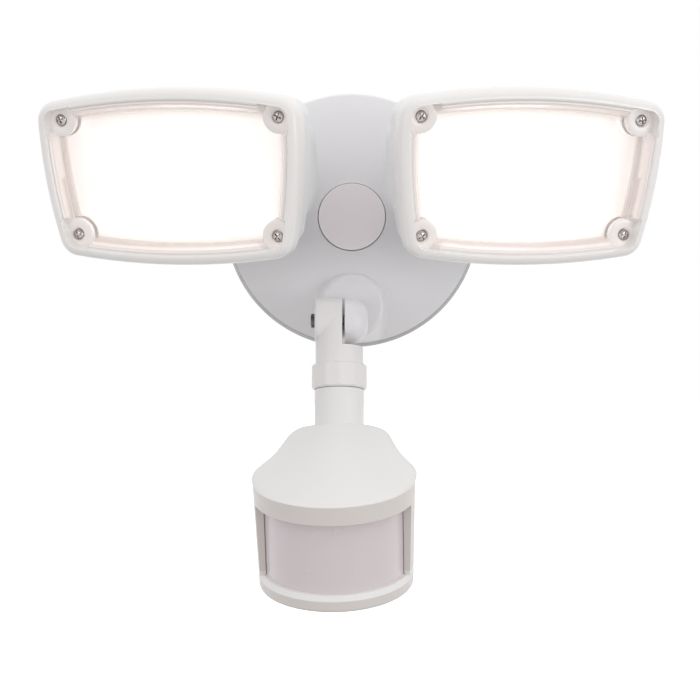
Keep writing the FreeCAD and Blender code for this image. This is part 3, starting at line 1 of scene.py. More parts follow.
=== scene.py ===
import json
import math
import bmesh
import bpy
import numpy as np
from mathutils import Matrix, Vector


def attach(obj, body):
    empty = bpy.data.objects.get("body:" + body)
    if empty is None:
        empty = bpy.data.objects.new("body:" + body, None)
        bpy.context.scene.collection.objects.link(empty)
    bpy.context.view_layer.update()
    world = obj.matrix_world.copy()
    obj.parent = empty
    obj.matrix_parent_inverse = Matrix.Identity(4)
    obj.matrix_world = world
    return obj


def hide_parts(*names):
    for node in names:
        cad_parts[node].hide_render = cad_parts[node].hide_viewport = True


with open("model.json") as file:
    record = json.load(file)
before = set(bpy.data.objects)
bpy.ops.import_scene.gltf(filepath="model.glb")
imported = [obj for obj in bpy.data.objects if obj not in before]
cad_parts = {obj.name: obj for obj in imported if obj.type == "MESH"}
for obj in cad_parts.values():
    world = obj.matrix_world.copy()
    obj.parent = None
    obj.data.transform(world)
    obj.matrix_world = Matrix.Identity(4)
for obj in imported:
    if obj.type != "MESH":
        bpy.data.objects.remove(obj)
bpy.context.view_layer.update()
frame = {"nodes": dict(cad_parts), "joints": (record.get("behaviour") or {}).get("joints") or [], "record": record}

# Twin-head motion sensor security light. The wall is y = 0, the light looks along -Y and z is up.
# Blender and the materials work in metres; the shapes of the new pieces are in millimetres.
nodes = frame["nodes"]
joints = {joint["name"]: joint for joint in frame["joints"]}
mm = 0.001

# ---- mesh helpers

meshLimits = {"merge": 1e-6, "thin": 1e-7}  # metres


def gridFaces(rows, columns, loops, first):
    # Quads of a rows x columns grid that closes along its columns, and along its rows when loops is set.
    i = np.arange(rows if loops else rows - 1)[:, None]
    j = np.arange(columns)[None, :]
    i2, j2 = (i + 1) % rows, (j + 1) % columns
    quads = np.stack([i * columns + j, i2 * columns + j, i2 * columns + j2, i * columns + j2], axis=-1)
    return quads.reshape(-1, 4) + first


def makePiece(name, grids, crease, loops=False, marks=None):
    # One mesh from several grids of points (rows, columns, 3), given in metres. Doubles at poles and
    # seams are merged. marks holds one number per point of each grid, for the materials.
    points, faces, count = [], [], 0
    for grid in grids:
        rows, columns = grid.shape[:2]
        points.append(grid.reshape(-1, 3))
        faces.append(gridFaces(rows, columns, loops, count))
        count += rows * columns
    mesh = bpy.data.meshes.new(name)
    mesh.from_pydata(np.concatenate(points).tolist(), [], np.concatenate(faces).tolist())
    for mark, parts in (marks or {}).items():
        values = np.concatenate([part.reshape(-1) for part in parts])
        layer = mesh.attributes.new(mark, "FLOAT", "POINT")
        layer.data.foreach_set("value", values.astype(np.float32))
    mesh.update()
    piece = bpy.data.objects.new(name, mesh)
    bpy.context.scene.collection.objects.link(piece)
    tidyMesh(mesh, crease)
    return piece


def tidyMesh(mesh, crease):
    # Merge doubles, face outwards, smooth all but the creases.
    work = bmesh.new()
    work.from_mesh(mesh)
    bmesh.ops.remove_doubles(work, verts=work.verts, dist=meshLimits["merge"])
    bmesh.ops.dissolve_degenerate(work, dist=meshLimits["thin"], edges=work.edges)
    bmesh.ops.recalc_face_normals(work, faces=work.faces)
    work.to_mesh(mesh)
    work.free()
    mesh.shade_smooth()
    mesh.set_sharp_from_angle(angle=math.radians(crease))


def placed(points, matrix):
    # Points of a grid carried into the frame by a 4 x 4 matrix, millimetres to metres.
    return (points @ matrix[:3, :3].T + matrix[:3, 3]) * mm


def turn(axis, degrees):
    return np.array(Matrix.Rotation(math.radians(degrees), 4, axis))


def shift(x, y, z):
    return np.array(Matrix.Translation((x, y, z)))


def spun(profile, steps):
    # Profile (n, 2) of radius and height turned about z: (r cos t, r sin t, h).
    t = np.linspace(0, 2 * np.pi, steps, endpoint=False)
    r, h = profile[:, :1], profile[:, 1:]
    return np.stack([r * np.cos(t), r * np.sin(t), h + 0 * t], axis=-1)


def softStep(x, low, high):
    # Smooth 0 to 1 between low and high: 3 s^2 - 2 s^3.
    s = np.clip((x - low) / (high - low), 0, 1)
    return s * s * (3 - 2 * s)


# ---- frames of the moving parts, from the lamp head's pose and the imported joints

heads = {"out": 81.9, "forward": 74.7, "rise": 14.1, "yaw": 19.8, "pitch": 14.3, "roll": 2.0,
         "pivotBack": 52.2, "rightTurn": 1.7}


def headMatrix(side):
    # x across a lamp's face, y into the head, z up the face, origin in the screw plane.
    aimed = (shift(side * heads["out"], -heads["forward"], heads["rise"]) @ turn("Z", side * heads["yaw"])
             @ turn("X", heads["pitch"]) @ turn("Y", -side * heads["roll"]))
    pivot = shift(0, heads["pivotBack"], 0)
    return aimed @ pivot @ turn("Z", -heads["rightTurn"] if side > 0 else 0) @ np.linalg.inv(pivot)


sensorPose = {"neckEnd": 51.3, "turned": 3.0, "lean": 10.6, "drumTilt": 25.6, "drumForward": 8.0,
              "drumDrop": 25.7, "drumAside": 2.0}


def drumMatrix():
    # z along the drum's axis, origin at the crease between hood and drum.
    pose = sensorPose
    x, y, z = (value / mm for value in joints["arm_tilt"]["pos_m"])
    arm = shift(x, y, z) @ turn("X", -pose["lean"])
    sensor = arm @ shift(0, 0, -pose["neckEnd"]) @ turn("Z", -pose["turned"])
    drop = shift(-pose["drumAside"], -pose["drumForward"], -pose["drumDrop"])
    return sensor @ drop @ turn("X", pose["drumTilt"])


# ---- material helpers

noiseSpan = (0.3, 0.7)  # most of a noise's values lie between these


def newMaterial(name):
    material = bpy.data.materials.new(name)
    material.use_nodes = True
    tree = material.node_tree
    return material, tree, tree.nodes["Principled BSDF"]


def feed(tree, value, socket):
    # Gives a socket another socket's value, or a fixed one.
    if isinstance(value, bpy.types.NodeSocket):
        tree.links.new(value, socket)
    else:
        socket.default_value = value


def noise(tree, patch, detail, rough=0.5, stretch=(1, 1, 1)):
    # Noise on the piece's own coordinates; patch is the size of one patch in metres.
    where = tree.nodes.new("ShaderNodeTexCoord")
    mapping = tree.nodes.new("ShaderNodeMapping")
    texture = tree.nodes.new("ShaderNodeTexNoise")
    mapping.inputs["Scale"].default_value = [1 / patch * s for s in stretch]
    texture.inputs["Scale"].default_value = 1.0
    texture.inputs["Detail"].default_value = detail
    texture.inputs["Roughness"].default_value = rough
    tree.links.new(where.outputs["Object"], mapping.inputs["Vector"])
    tree.links.new(mapping.outputs["Vector"], texture.inputs["Vector"])
    return texture.outputs["Fac"]


def ramp(tree, source, stops):
    # Colour ramp of (position, colour) stops.
    node = tree.nodes.new("ShaderNodeValToRGB")
    elements = node.color_ramp.elements
    while len(elements) < len(stops):
        elements.new(0.5)
    for element, (position, colour) in zip(elements, stops):
        element.position = position
        element.color = (*colour, 1)
    tree.links.new(source, node.inputs["Fac"])
    return node.outputs["Color"]


def mapped(tree, source, start, end):
    # Straight line from the pair start to the pair end, held at both ends.
    node = tree.nodes.new("ShaderNodeMapRange")
    for slot, value in zip(("From Min", "From Max", "To Min", "To Max"), (*start, *end)):
        feed(tree, value, node.inputs[slot])
    tree.links.new(source, node.inputs["Value"])
    return node.outputs["Result"]


def calc(tree, operation, first, second):
    node = tree.nodes.new("ShaderNodeMath")
    node.operation = operation
    feed(tree, first, node.inputs[0])
    feed(tree, second, node.inputs[1])
    return node.outputs["Value"]


def mixed(tree, share, first, second, kind="MIX"):
    # Colour between first and second by share.
    node = tree.nodes.new("ShaderNodeMixRGB")
    node.blend_type = kind
    for slot, value in (("Fac", share), ("Color1", first), ("Color2", second)):
        feed(tree, value, node.inputs[slot])
    return node.outputs["Color"]


def readMark(tree, mark):
    node = tree.nodes.new("ShaderNodeAttribute")
    node.attribute_name = mark
    return node.outputs["Fac"]


def bump(tree, shader, source, height):
    # Relief of the given height in metres.
    node = tree.nodes.new("ShaderNodeBump")
    node.inputs["Distance"].default_value = height
    node.inputs["Strength"].default_value = 1.0
    tree.links.new(source, node.inputs["Height"])
    tree.links.new(node.outputs["Normal"], shader.inputs["Normal"])


def linear(red, green, blue):
    # Screen colour 0..255 to the shader's linear colour, by the sRGB curve.
    value = np.array([red, green, blue]) / 255
    return tuple(np.where(value <= 0.04045, value / 12.92, ((value + 0.055) / 1.055) ** 2.4))


# ---- finishes

whiteLook = {"driftPatch": 0.045, "wipePatch": 0.012, "wipeRough": 0.6, "grain": 0.00045}
metalLook = {"tonePatch": 0.004, "dark": 0.82, "depth": 0.000006}
softLook = {"dark": 0.7, "span": (0.35, 0.65), "pitRough": 0.65}


def mouldedWhite(name, tone, rough=(0.3, 0.42), depth=0.000012, dust=0.02):
    # Painted or moulded plastic: slow tone drift, fine orange peel, a little dust in broad patches.
    material, tree, shader = newMaterial(name)
    drift = noise(tree, whiteLook["driftPatch"], detail=4)
    dusty = tuple(c * (1 - dust) for c in tone)
    feed(tree, ramp(tree, drift, list(zip(noiseSpan, (dusty, tone)))), shader.inputs["Base Color"])
    wipe = noise(tree, whiteLook["wipePatch"], detail=5, rough=whiteLook["wipeRough"])
    feed(tree, mapped(tree, wipe, noiseSpan, rough), shader.inputs["Roughness"])
    bump(tree, shader, noise(tree, whiteLook["grain"], detail=2), depth)
    return material


def metal(name, tone, rough, grain=0.0004, stretch=(1, 1, 1)):
    # Plated or bare metal: fine scratches in roughness and bump, slightly uneven tone.
    material, tree, shader = newMaterial(name)
    shader.inputs["Metallic"].default_value = 1.0
    dull = tuple(c * metalLook["dark"] for c in tone)
    patch = noise(tree, metalLook["tonePatch"], detail=4)
    feed(tree, ramp(tree, patch, list(zip(noiseSpan, (dull, tone)))), shader.inputs["Base Color"])
    scratch = noise(tree, grain, detail=4, stretch=stretch)
    feed(tree, mapped(tree, scratch, noiseSpan, rough), shader.inputs["Roughness"])
    bump(tree, shader, scratch, metalLook["depth"])
    return material


def softMatter(name, tone, rough=(0.6, 0.85), grain=0.0006, depth=0.00004):
    # Foam, rubber or potting: pitted and matt, with the pits' hollows painted darker as painted shade.
    material, tree, shader = newMaterial(name)
    pits = noise(tree, grain, detail=5, rough=softLook["pitRough"])
    # painted shade: the low spots of the bump get the darker tone
    deep = tuple(c * softLook["dark"] for c in tone)
    feed(tree, ramp(tree, pits, list(zip(softLook["span"], (deep, tone)))), shader.inputs["Base Color"])
    feed(tree, mapped(tree, pits, noiseSpan, rough), shader.inputs["Roughness"])
    bump(tree, shader, pits, depth)
    return material


litLook = {"driftPatch": 0.03, "rough": (0.3, 0.45)}


def litMaterial(name, tone, strength, warm):
    # Surface flooded with light: emission that drifts a little warmer away from the bright places.
    material, tree, shader = newMaterial(name)
    drift = noise(tree, litLook["driftPatch"], detail=2)
    colour = ramp(tree, drift, list(zip(noiseSpan, (warm, tone))))
    feed(tree, colour, shader.inputs["Base Color"])
    feed(tree, colour, shader.inputs["Emission Color"])
    shader.inputs["Emission Strength"].default_value = strength
    feed(tree, mapped(tree, drift, noiseSpan, litLook["rough"]), shader.inputs["Roughness"])
    return material


# dark grey painted along the canopy's lower rim: painted shade
canopyRimPaintedShade = {"reach": (0.0616, 0.0621), "height": (0.03, -0.03), "share": 0.8, "tone": linear(118, 116, 118)}


def paintedRimShade(material, band):
    # Painted shade on the lower rim, which faces down: share = ramp(r) * ramp(-z), r = sqrt(x^2 + z^2) on the
    # piece's coordinates.
    tree = material.node_tree
    paint = tree.nodes["Principled BSDF"].inputs["Base Color"]
    where = tree.nodes.new("ShaderNodeTexCoord").outputs["Object"]
    split = tree.nodes.new("ShaderNodeSeparateXYZ")
    flat = tree.nodes.new("ShaderNodeVectorMath")
    flat.operation = "MULTIPLY"
    flat.inputs[1].default_value = (1, 0, 1)
    reach = tree.nodes.new("ShaderNodeVectorMath")
    reach.operation = "LENGTH"
    tree.links.new(where, split.inputs["Vector"])
    tree.links.new(where, flat.inputs[0])
    tree.links.new(flat.outputs["Vector"], reach.inputs[0])
    amount = calc(tree, "MULTIPLY", mapped(tree, reach.outputs["Value"], band["reach"], (0, 1)),
                  mapped(tree, split.outputs["Z"], band["height"], (0, band["share"])))
    feed(tree, mixed(tree, amount, paint.links[0].from_socket, (*band["tone"], 1)), paint)
    return material


# darker, warmer colour on the drum's band and rim, which face down: painted shade
drumPaintedShade = {"low": -55.0, "high": 5.0, "edges": (-45.9, -45.4, -42.0, -41.0, -0.3, 0.3),
             "plain": (False, True, True, False, False, True), "shadeTint": (0.87, 0.835, 0.815)}


def paintedBandShade(material, matrix, band):
    # Painted shade on the drum's downward-facing band and rim: darker by height along its axis, h = dot(P, axis) -
    # dot(origin, axis).
    tree = material.node_tree
    paint = tree.nodes["Principled BSDF"].inputs["Base Color"]
    axis = matrix[:3, 2]
    start = float(matrix[:3, 3] @ axis)
    along = tree.nodes.new("ShaderNodeVectorMath")
    along.operation = "DOT_PRODUCT"
    along.inputs[1].default_value = tuple(axis)
    tree.links.new(tree.nodes.new("ShaderNodeTexCoord").outputs["Object"], along.inputs[0])
    ends = ((start + band["low"]) * mm, (start + band["high"]) * mm)
    level = mapped(tree, along.outputs["Value"], ends, (0, 1))
    reach = band["high"] - band["low"]
    stops = [((edge - band["low"]) / reach, (1, 1, 1) if plain else band["shadeTint"])
             for edge, plain in zip(band["edges"], band["plain"])]
    feed(tree, mixed(tree, 1.0, paint.links[0].from_socket, ramp(tree, level, stops), "MULTIPLY"), paint)
    return material


finishes = {
    # the canopy paint carries painted shade on its lower rim
    "canopy_paint": paintedRimShade(mouldedWhite("canopyPaint", linear(234, 232, 234), (0.3, 0.4)), canopyRimPaintedShade),
    "housing_paint": mouldedWhite("housingPaint", linear(232, 233, 233)),
    # the sensor plastic carries painted shade on the drum's downward-facing band and rim
    "sensor_plastic": paintedBandShade(mouldedWhite("sensorPlastic", linear(234, 232, 230), (0.38, 0.5)),
                                drumMatrix(), drumPaintedShade),
    "arm_plastic": mouldedWhite("armPlastic", linear(234, 231, 230), (0.36, 0.48)),
    "plug_plastic": mouldedWhite("plugPlastic", linear(247, 239, 241), (0.4, 0.52)),
    "zinc_steel": metal("zincSteel", linear(190, 192, 196), (0.28, 0.45)),
    "bright_screw": metal("brightScrew", linear(205, 198, 196), (0.12, 0.24)),
    "dark_bolt": metal("darkBolt", linear(90, 88, 88), (0.2, 0.35)),
    "foam_gasket": softMatter("foamGasket", linear(60, 60, 60)),
    "seal_rubber": softMatter("sealRubber", linear(200, 199, 197), grain=0.0003, depth=0.00001),
    "green_screw": metal("greenScrew", linear(40, 120, 62), (0.3, 0.4)),
    "module_case": softMatter("moduleCase", linear(52, 52, 55), grain=0.0003, depth=0.00001),
    "bare_aluminium": metal("bareAluminium", linear(205, 206, 208), (0.3, 0.45), stretch=(1, 8, 1)),
    "detector_can": metal("detectorCan", linear(200, 192, 176), (0.2, 0.3)),
    "cell_clear": mouldedWhite("cellClear", linear(205, 130, 90), (0.08, 0.15), dust=0.1),
    "trimmer_blue": mouldedWhite("trimmerBlue", linear(60, 92, 160), (0.35, 0.45), dust=0.1),
    "knob_plastic": mouldedWhite("knobPlastic", linear(178, 178, 180), (0.35, 0.5), dust=0.05),
    "board_green": mouldedWhite("boardGreen", linear(40, 110, 70), (0.25, 0.35), dust=0.2),
    "board_white": litMaterial("boardLit", linear(255, 254, 252), 0.9, linear(254, 251, 248)),
    "lit_chip": litMaterial("chipLit", linear(255, 255, 253), 2.0, linear(255, 252, 246)),
    "detector_lens": mouldedWhite("detectorLens", linear(218, 208, 210), (0.2, 0.28), depth=0.000006),
}

# ---- lamp covers, reflectors and screws

faceShape = {"topHalf": 64.4, "footHalf": 56.9, "top": 34.4, "foot": 35.6, "crown": 350.0, "cheek": 230.0,
             "corner": 9.5, "sharpest": 0.5, "cornerSteps": 14, "crownSteps": 60, "cheekSteps": 34}
screwSpots = np.array([(-54.3, 26.9), (54.3, 26.9), (-50.7, -26.9), (50.7, -26.9)])


def faceCurve(inset):
    # Outline of a lamp face drawn in by inset: four arcs of radius R - inset about fixed middles,
    # joined at the corners by arcs of radius max(corner - inset, sharpest).
    size = faceShape
    corners = np.array([(-size["topHalf"], size["top"]), (size["topHalf"], size["top"]),
                        (size["footHalf"], -size["foot"]), (-size["footHalf"], -size["foot"])])
    bow = np.array([size["crown"], size["cheek"]] * 2) - inset
    run = np.roll(corners, -1, axis=0) - corners
    length = np.linalg.norm(run, axis=1)
    inward = np.stack([run[:, 1], -run[:, 0]], axis=-1) / length[:, None]
    reach = np.sqrt((bow + inset) ** 2 - (length / 2) ** 2)
    middle = corners + run / 2 + inward * reach[:, None]
    radius = max(size["corner"] - inset, size["sharpest"])
    last, lastBow = np.roll(middle, 1, axis=0), np.roll(bow, 1)
    gap = np.linalg.norm(middle - last, axis=1)
    unit = (middle - last) / gap[:, None]
    along = (gap ** 2 + (lastBow - radius) ** 2 - (bow - radius) ** 2) / (2 * gap)
    across = np.sqrt((lastBow - radius) ** 2 - along ** 2)
    swing = np.stack([-unit[:, 1], unit[:, 0]], axis=-1) * across[:, None]
    sides = np.stack([last + unit * along[:, None] + swing, last + unit * along[:, None] - swing])
    nearest = np.linalg.norm(sides - corners, axis=2).argmin(axis=0)
    pins = sides[nearest, np.arange(4)]
    arcs = []
    for i in range(4):
        steps = size["crownSteps"] if i % 2 == 0 else size["cheekSteps"]
        arcs.append(arcPoints(pins[i], radius, pins[i] - last[i], pins[i] - middle[i], size["cornerSteps"]))
        arcs.append(arcPoints(middle[i], bow[i], pins[i] - middle[i], pins[(i + 1) % 4] - middle[i], steps))
    return np.concatenate(arcs)


def arcPoints(middle, radius, start, end, steps):
    # Clockwise arc, middle + radius (cos t, sin t), t from the start direction to the end direction.
    first, final = np.arctan2(start[1], start[0]), np.arctan2(end[1], end[0])
    final -= 2 * np.pi * (final > first)
    t = np.linspace(first, final, steps, endpoint=False)
    return middle + radius * np.stack([np.cos(t), np.sin(t)], axis=-1)


def drawn(profile):
    # Grid of the face outline carried along a profile of (inset, depth).
    return np.stack([np.insert(faceCurve(inset), 1, depth, axis=1) for inset, depth in profile])


def shrunk(curve, depth, shares):
    # Grid of one outline drawn in to its middle: P = share * curve.
    rows = np.asarray(shares)[:, None, None] * curve[None]
    return np.insert(rows, 1, depth, axis=2)


# ridges are (inset, depth) from the bead to the window; pocket is where they sink round a screw
coverShape = {"front": -7.0, "back": 3.0, "beadRound": 4.0, "beadSteps": 12,
              "ridges": [(4.6, -6.9), (4.9, -6.5), (5.1, -6.0), (5.4, -5.9), (5.7, -6.15), (6.1, -6.1),
                         (6.4, -5.6), (6.7, -5.35), (7.1, -5.3), (7.35, -4.8), (7.6, -4.2), (8.4, -2.3),
                         (8.8, -1.4)],
              "ridgeStart": 4.5, "pocketDepth": -1.25, "pocket": (7.2, 9.0),
              "window": -1.2, "windowInsets": (9.0, 17.0), "windowSteps": 12,
              "middleShare": 0.95, "middleSteps": 8, "backSteps": 5,
              "windowBack": 1.0, "backInsets": (17.0, 12.0, 9.0), "skirtInset": 4.3, "lip": 0.2,
              "milkEdge": (8.5, 9.4), "warmEdge": (4.6, 7.0), "bossWarm": 0.45,
              "grooves": (5.15, 6.45), "grooveWidth": 0.22, "grooveShare": 0.4,
              "innerLine": 8.5, "innerShare": 1.4,
              # dark is the colour of painted shade in the grooves and along the bottom gap
              "pale": linear(235, 232, 230), "pink": linear(232, 222, 218), "dark": linear(206, 193, 190),
              # the emission range below is a painted glow of the lamp's light through the border
              "rough": (0.16, 0.26), "paintedGlow": (0.05, 0.17), "film": (0.07, 1.0), "driftPatch": 0.02,
              "grain": 0.0006, "grainDepth": 0.000006, "crease": 50}


def coverGrid():
    # Bead of radius R: inset R - R cos a, depth front + R - R sin a; then ridges, slope and window.
    size = coverShape
    a = np.linspace(0, np.pi / 2, size["beadSteps"])
    bead = np.stack([size["beadRound"] * (1 - np.cos(a)),
                     size["front"] + size["beadRound"] * (1 - np.sin(a))], axis=-1)
    border = np.concatenate([[(0, size["back"]), (0, 0)], bead, size["ridges"]])
    fine = np.linspace(*size["windowInsets"], size["windowSteps"])
    middle = faceCurve(fine[-1])
    skirt = np.array([(size["skirtInset"], size["windowBack"]), (size["skirtInset"], size["back"]),
                      (size["lip"], size["back"])])
    grid = np.concatenate([
        drawn(border),
        drawn([(inset, size["window"]) for inset in fine]),
        shrunk(middle, size["window"], np.linspace(size["middleShare"], 0, size["middleSteps"])),
        shrunk(middle, size["windowBack"], np.linspace(0, size["middleShare"], size["backSteps"])),
        drawn([(inset, size["windowBack"]) for inset in size["backInsets"]]),
        drawn(skirt)])
    flat = np.full(size["middleSteps"] + size["backSteps"], fine[-1])
    return grid, np.concatenate([border[:, 0], fine, flat, size["backInsets"], skirt[:, 0]])


# profile is (radius, depth): the disc's front, the screw's well and hole, then back outside
bossShape = {"profile": [(7.7, -1.1), (7.65, -1.35), (7.4, -1.6), (7.0, -1.7), (3.9, -1.7), (3.4, -1.6),
                         (3.15, -1.3), (3.1, 0.0), (1.98, 0.0), (1.98, 3.0), (5.2, 3.0), (5.2, 1.05),
                         (7.7, 1.0)],
             "steps": 72}


def bossGrid(spot):
    # Disc round a screw: profile (r, h) turned about the screw, (x + r cos t, h, z + r sin t).
    ring = spun(np.array(bossShape["profile"]), bossShape["steps"])
    return np.stack([ring[..., 0] + spot[0], ring[..., 2], ring[..., 1] + spot[1]], axis=-1)


def coverMaterial(name):
    # Milky border and bosses, clear window; marks: milk is how opaque, warm how pink and how strongly the border
    # glows with painted light, the third mark how dark with painted shade in the grooves and along the bottom gap.
    size = coverShape
    material, tree, shader = newMaterial(name)
    milk, warm, lineShade = (readMark(tree, mark) for mark in ("milk", "warm", "lineShade"))
    drift = noise(tree, size["driftPatch"], detail=3)
    feed(tree, mapped(tree, drift, noiseSpan, size["rough"]), shader.inputs["Roughness"])
    # painted shade: darker in the grooves and along the bottom gap
    tone = mixed(tree, lineShade, ramp(tree, warm, [(0.0, size["pale"]), (1.0, size["pink"])]), (*size["dark"], 1))
    feed(tree, tone, shader.inputs["Base Color"])
    feed(tree, tone, shader.inputs["Emission Color"])
    # painted light: the border's emission stands in for the lamp's light coming through the milky plastic
    feed(tree, mapped(tree, warm, (0, 1), size["paintedGlow"]), shader.inputs["Emission Strength"])
    bump(tree, shader, noise(tree, size["grain"], detail=2), size["grainDepth"])
    through = tree.nodes.new("ShaderNodeBsdfTransparent")
    mix = tree.nodes.new("ShaderNodeMixShader")
    feed(tree, mapped(tree, milk, (0, 1), size["film"]), mix.inputs["Fac"])
    tree.links.new(through.outputs["BSDF"], mix.inputs[1])
    tree.links.new(shader.outputs["BSDF"], mix.inputs[2])
    tree.links.new(mix.outputs["Shader"], tree.nodes["Material Output"].inputs["Surface"])
    return material


def makeCover(side, tag, material):
    # clear is 0 in a pocket round a screw and 1 away from it; groove lines and the gap line along the bottom are
    # painted shade, darkening by exp(-(gap / width)^2).
    size = coverShape
    grid, inset = coverGrid()
    away = np.linalg.norm(grid[:, :, None, ::2] - screwSpots, axis=-1).min(axis=2)
    clear = softStep(away, *size["pocket"])
    ridge = (inset[:, None] > size["ridgeStart"]) & (grid[..., 1] < size["pocketDepth"])
    lowered = size["pocketDepth"] + (grid[..., 1] - size["pocketDepth"]) * clear
    grid[..., 1] = np.where(ridge, lowered, grid[..., 1])
    milk = np.repeat((1 - softStep(inset, *size["milkEdge"]))[:, None], grid.shape[1], axis=1)
    warm = np.repeat(softStep(inset, *size["warmEdge"])[:, None], grid.shape[1], axis=1)
    lines = sum(np.exp(-((inset - groove) / size["grooveWidth"]) ** 2) for groove in size["grooves"])
    inner = np.exp(-((inset - size["innerLine"]) / size["grooveWidth"]) ** 2)
    # painted shade: grooves all round, and the inner line on the lower half only
    lineShade = size["grooveShare"] * lines[:, None] + size["innerShare"] * (grid[..., 2] < 0) * inner[:, None]
    bosses = [bossGrid(spot) for spot in screwSpots]
    full = [np.ones(boss.shape[:2]) for boss in bosses]
    matrix = headMatrix(side)
    piece = makePiece(tag + "_cover_piece", [placed(part, matrix) for part in [grid] + bosses],
                      size["crease"], loops=True,
                      marks={"milk": [milk] + full, "warm": [warm] + [size["bossWarm"] * part for part in full],
                             "lineShade": [lineShade * clear] + [0 * part for part in full]})
    piece.data.materials.append(material)
    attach(piece, tag + "_lamp")
    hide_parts(tag + "_lens_cover")


trayShape = {"lipInset": 6.0, "lipDepth": 3.4, "lipSteps": 5, "mouthInset": 9.0, "mouthDepth": 5.6,
             "throatWide": 23.0, "throatTall": 14.0, "throat": 21.9, "bowl": 0.85, "bowlSteps": 16,
             "square": 8.0, "wall": 0.8, "halfWide": 60, "halfTall": 34, "backShare": 0.9,
             "postRadius": 8.0, "postReach": 2.2, "rimGlow": 0.45, "power": (0.12, 0.55),
             "lipTone": linear(236, 226, 222), "lit": (linear(254, 250, 247), linear(255, 253, 251)),
             "driftPatch": 0.04, "rough": (0.35, 0.5), "grain": 0.0008, "grainDepth": 0.000008, "crease": 60}


def pastPosts(points):
    # Points closer than postRadius to a screw post slide towards the face's middle until they clear it.
    radius = trayShape["postRadius"]
    for spot in screwSpots:
        toward = -spot / np.linalg.norm(spot)
        away = points - spot
        along = away @ toward
        beside = np.linalg.norm(away - along[..., None] * toward, axis=-1)
        need = np.sqrt(np.maximum(radius ** 2 - beside ** 2, 0))
        near = (beside < radius) & (along > -trayShape["postReach"] * radius)
        push = np.where(near, np.maximum(need - along, 0), 0)
        points = points + push[..., None] * toward
    return points


def trayGrid():
    # Lip, then a bowl from the mouth to the throat: P = mouth + (throat - mouth) v, v = u^bowl. The throat
    # is a rounded oblong: |x / wide|^n + |z / tall|^n = 1.
    size = trayShape
    mouth = faceCurve(size["mouthInset"])
    angle = np.arctan2(mouth[:, 1] / size["throatTall"], mouth[:, 0] / size["throatWide"])
    c, s = np.cos(angle), np.sin(angle)
    reach = (np.abs(c) ** size["square"] + np.abs(s) ** size["square"]) ** (-1 / size["square"])
    throat = np.stack([c * size["throatWide"], s * size["throatTall"]], axis=-1) * reach[:, None]
    u = np.linspace(0, 1, size["bowlSteps"])
    bowl = mouth + (throat - mouth) * u[:, None, None] ** size["bowl"]
    insets = np.linspace(size["lipInset"], size["mouthInset"], size["lipSteps"] + 1)[:-1]
    lip = np.stack([faceCurve(inset) for inset in insets])
    flat = pastPosts(np.concatenate([lip, bowl]))
    depth = np.concatenate([np.linspace(size["lipDepth"], size["mouthDepth"], size["lipSteps"] + 1)[:-1],
                            size["mouthDepth"] + (size["throat"] - size["mouthDepth"]) * u])
    front = np.stack([flat[..., 0], np.repeat(depth[:, None], flat.shape[1], axis=1), flat[..., 1]], axis=-1)
    behind = front[::-1].copy()
    behind[..., 0] *= 1 + size["wall"] / size["halfWide"]
    behind[..., 2] *= 1 + size["wall"] / size["halfTall"]
    behind[..., 1] = np.minimum(behind[..., 1] + size["wall"] * size["backShare"], size["throat"])
    rising = size["rimGlow"] + (1 - size["rimGlow"]) * u
    unlit = np.zeros(size["lipSteps"])
    glow = np.concatenate([unlit, rising, rising[::-1], unlit])
    return np.concatenate([front, behind]), np.repeat(glow[:, None], flat.shape[1], axis=1)


def trayMaterial(name):
    # Bright inside and a greyer lip outside the mouth, by the glow mark.
    size = trayShape
    material, tree, shader = newMaterial(name)
    glow = readMark(tree, "glow")
    drift = noise(tree, size["driftPatch"], detail=2)
    warm = ramp(tree, drift, list(zip(noiseSpan, size["lit"])))
    feed(tree, mixed(tree, glow, (*size["lipTone"], 1), warm), shader.inputs["Base Color"])
    feed(tree, warm, shader.inputs["Emission Color"])
    feed(tree, mapped(tree, glow, (0, 1), size["power"]), shader.inputs["Emission Strength"])
    feed(tree, mapped(tree, drift, noiseSpan, size["rough"]), shader.inputs["Roughness"])
    bump(tree, shader, noise(tree, size["grain"], detail=2), size["grainDepth"])
    return material


def makeTray(side, tag, material):
    grid, glow = trayGrid()
    piece = makePiece(tag + "_reflector_piece", [placed(grid, headMatrix(side))], trayShape["crease"],
                      loops=True, marks={"glow": [glow]})
    piece.data.materials.append(material)
    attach(piece, tag + "_lamp")
    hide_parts(tag + "_reflector")


# crowding packs the head's rings to its rim; turns are each cross's angles in degrees
screwShape = {"radius": 2.95, "height": 2.25, "roundness": 2.8, "rings": 34, "crowding": 0.8, "steps": 96,
              "armReach": 1.75, "armWidth": 0.36, "edge": 0.16, "deep": 1.45, "shallower": 0.45,
              "under": 0.98, "sunk": 0.02, "shank": 1.88, "length": 12.0, "point": 1.2, "tip": 0.4,
              "turns": {"left": (20, 64, 8, 41), "right": (52, 12, 33, 75)}, "crease": 40}


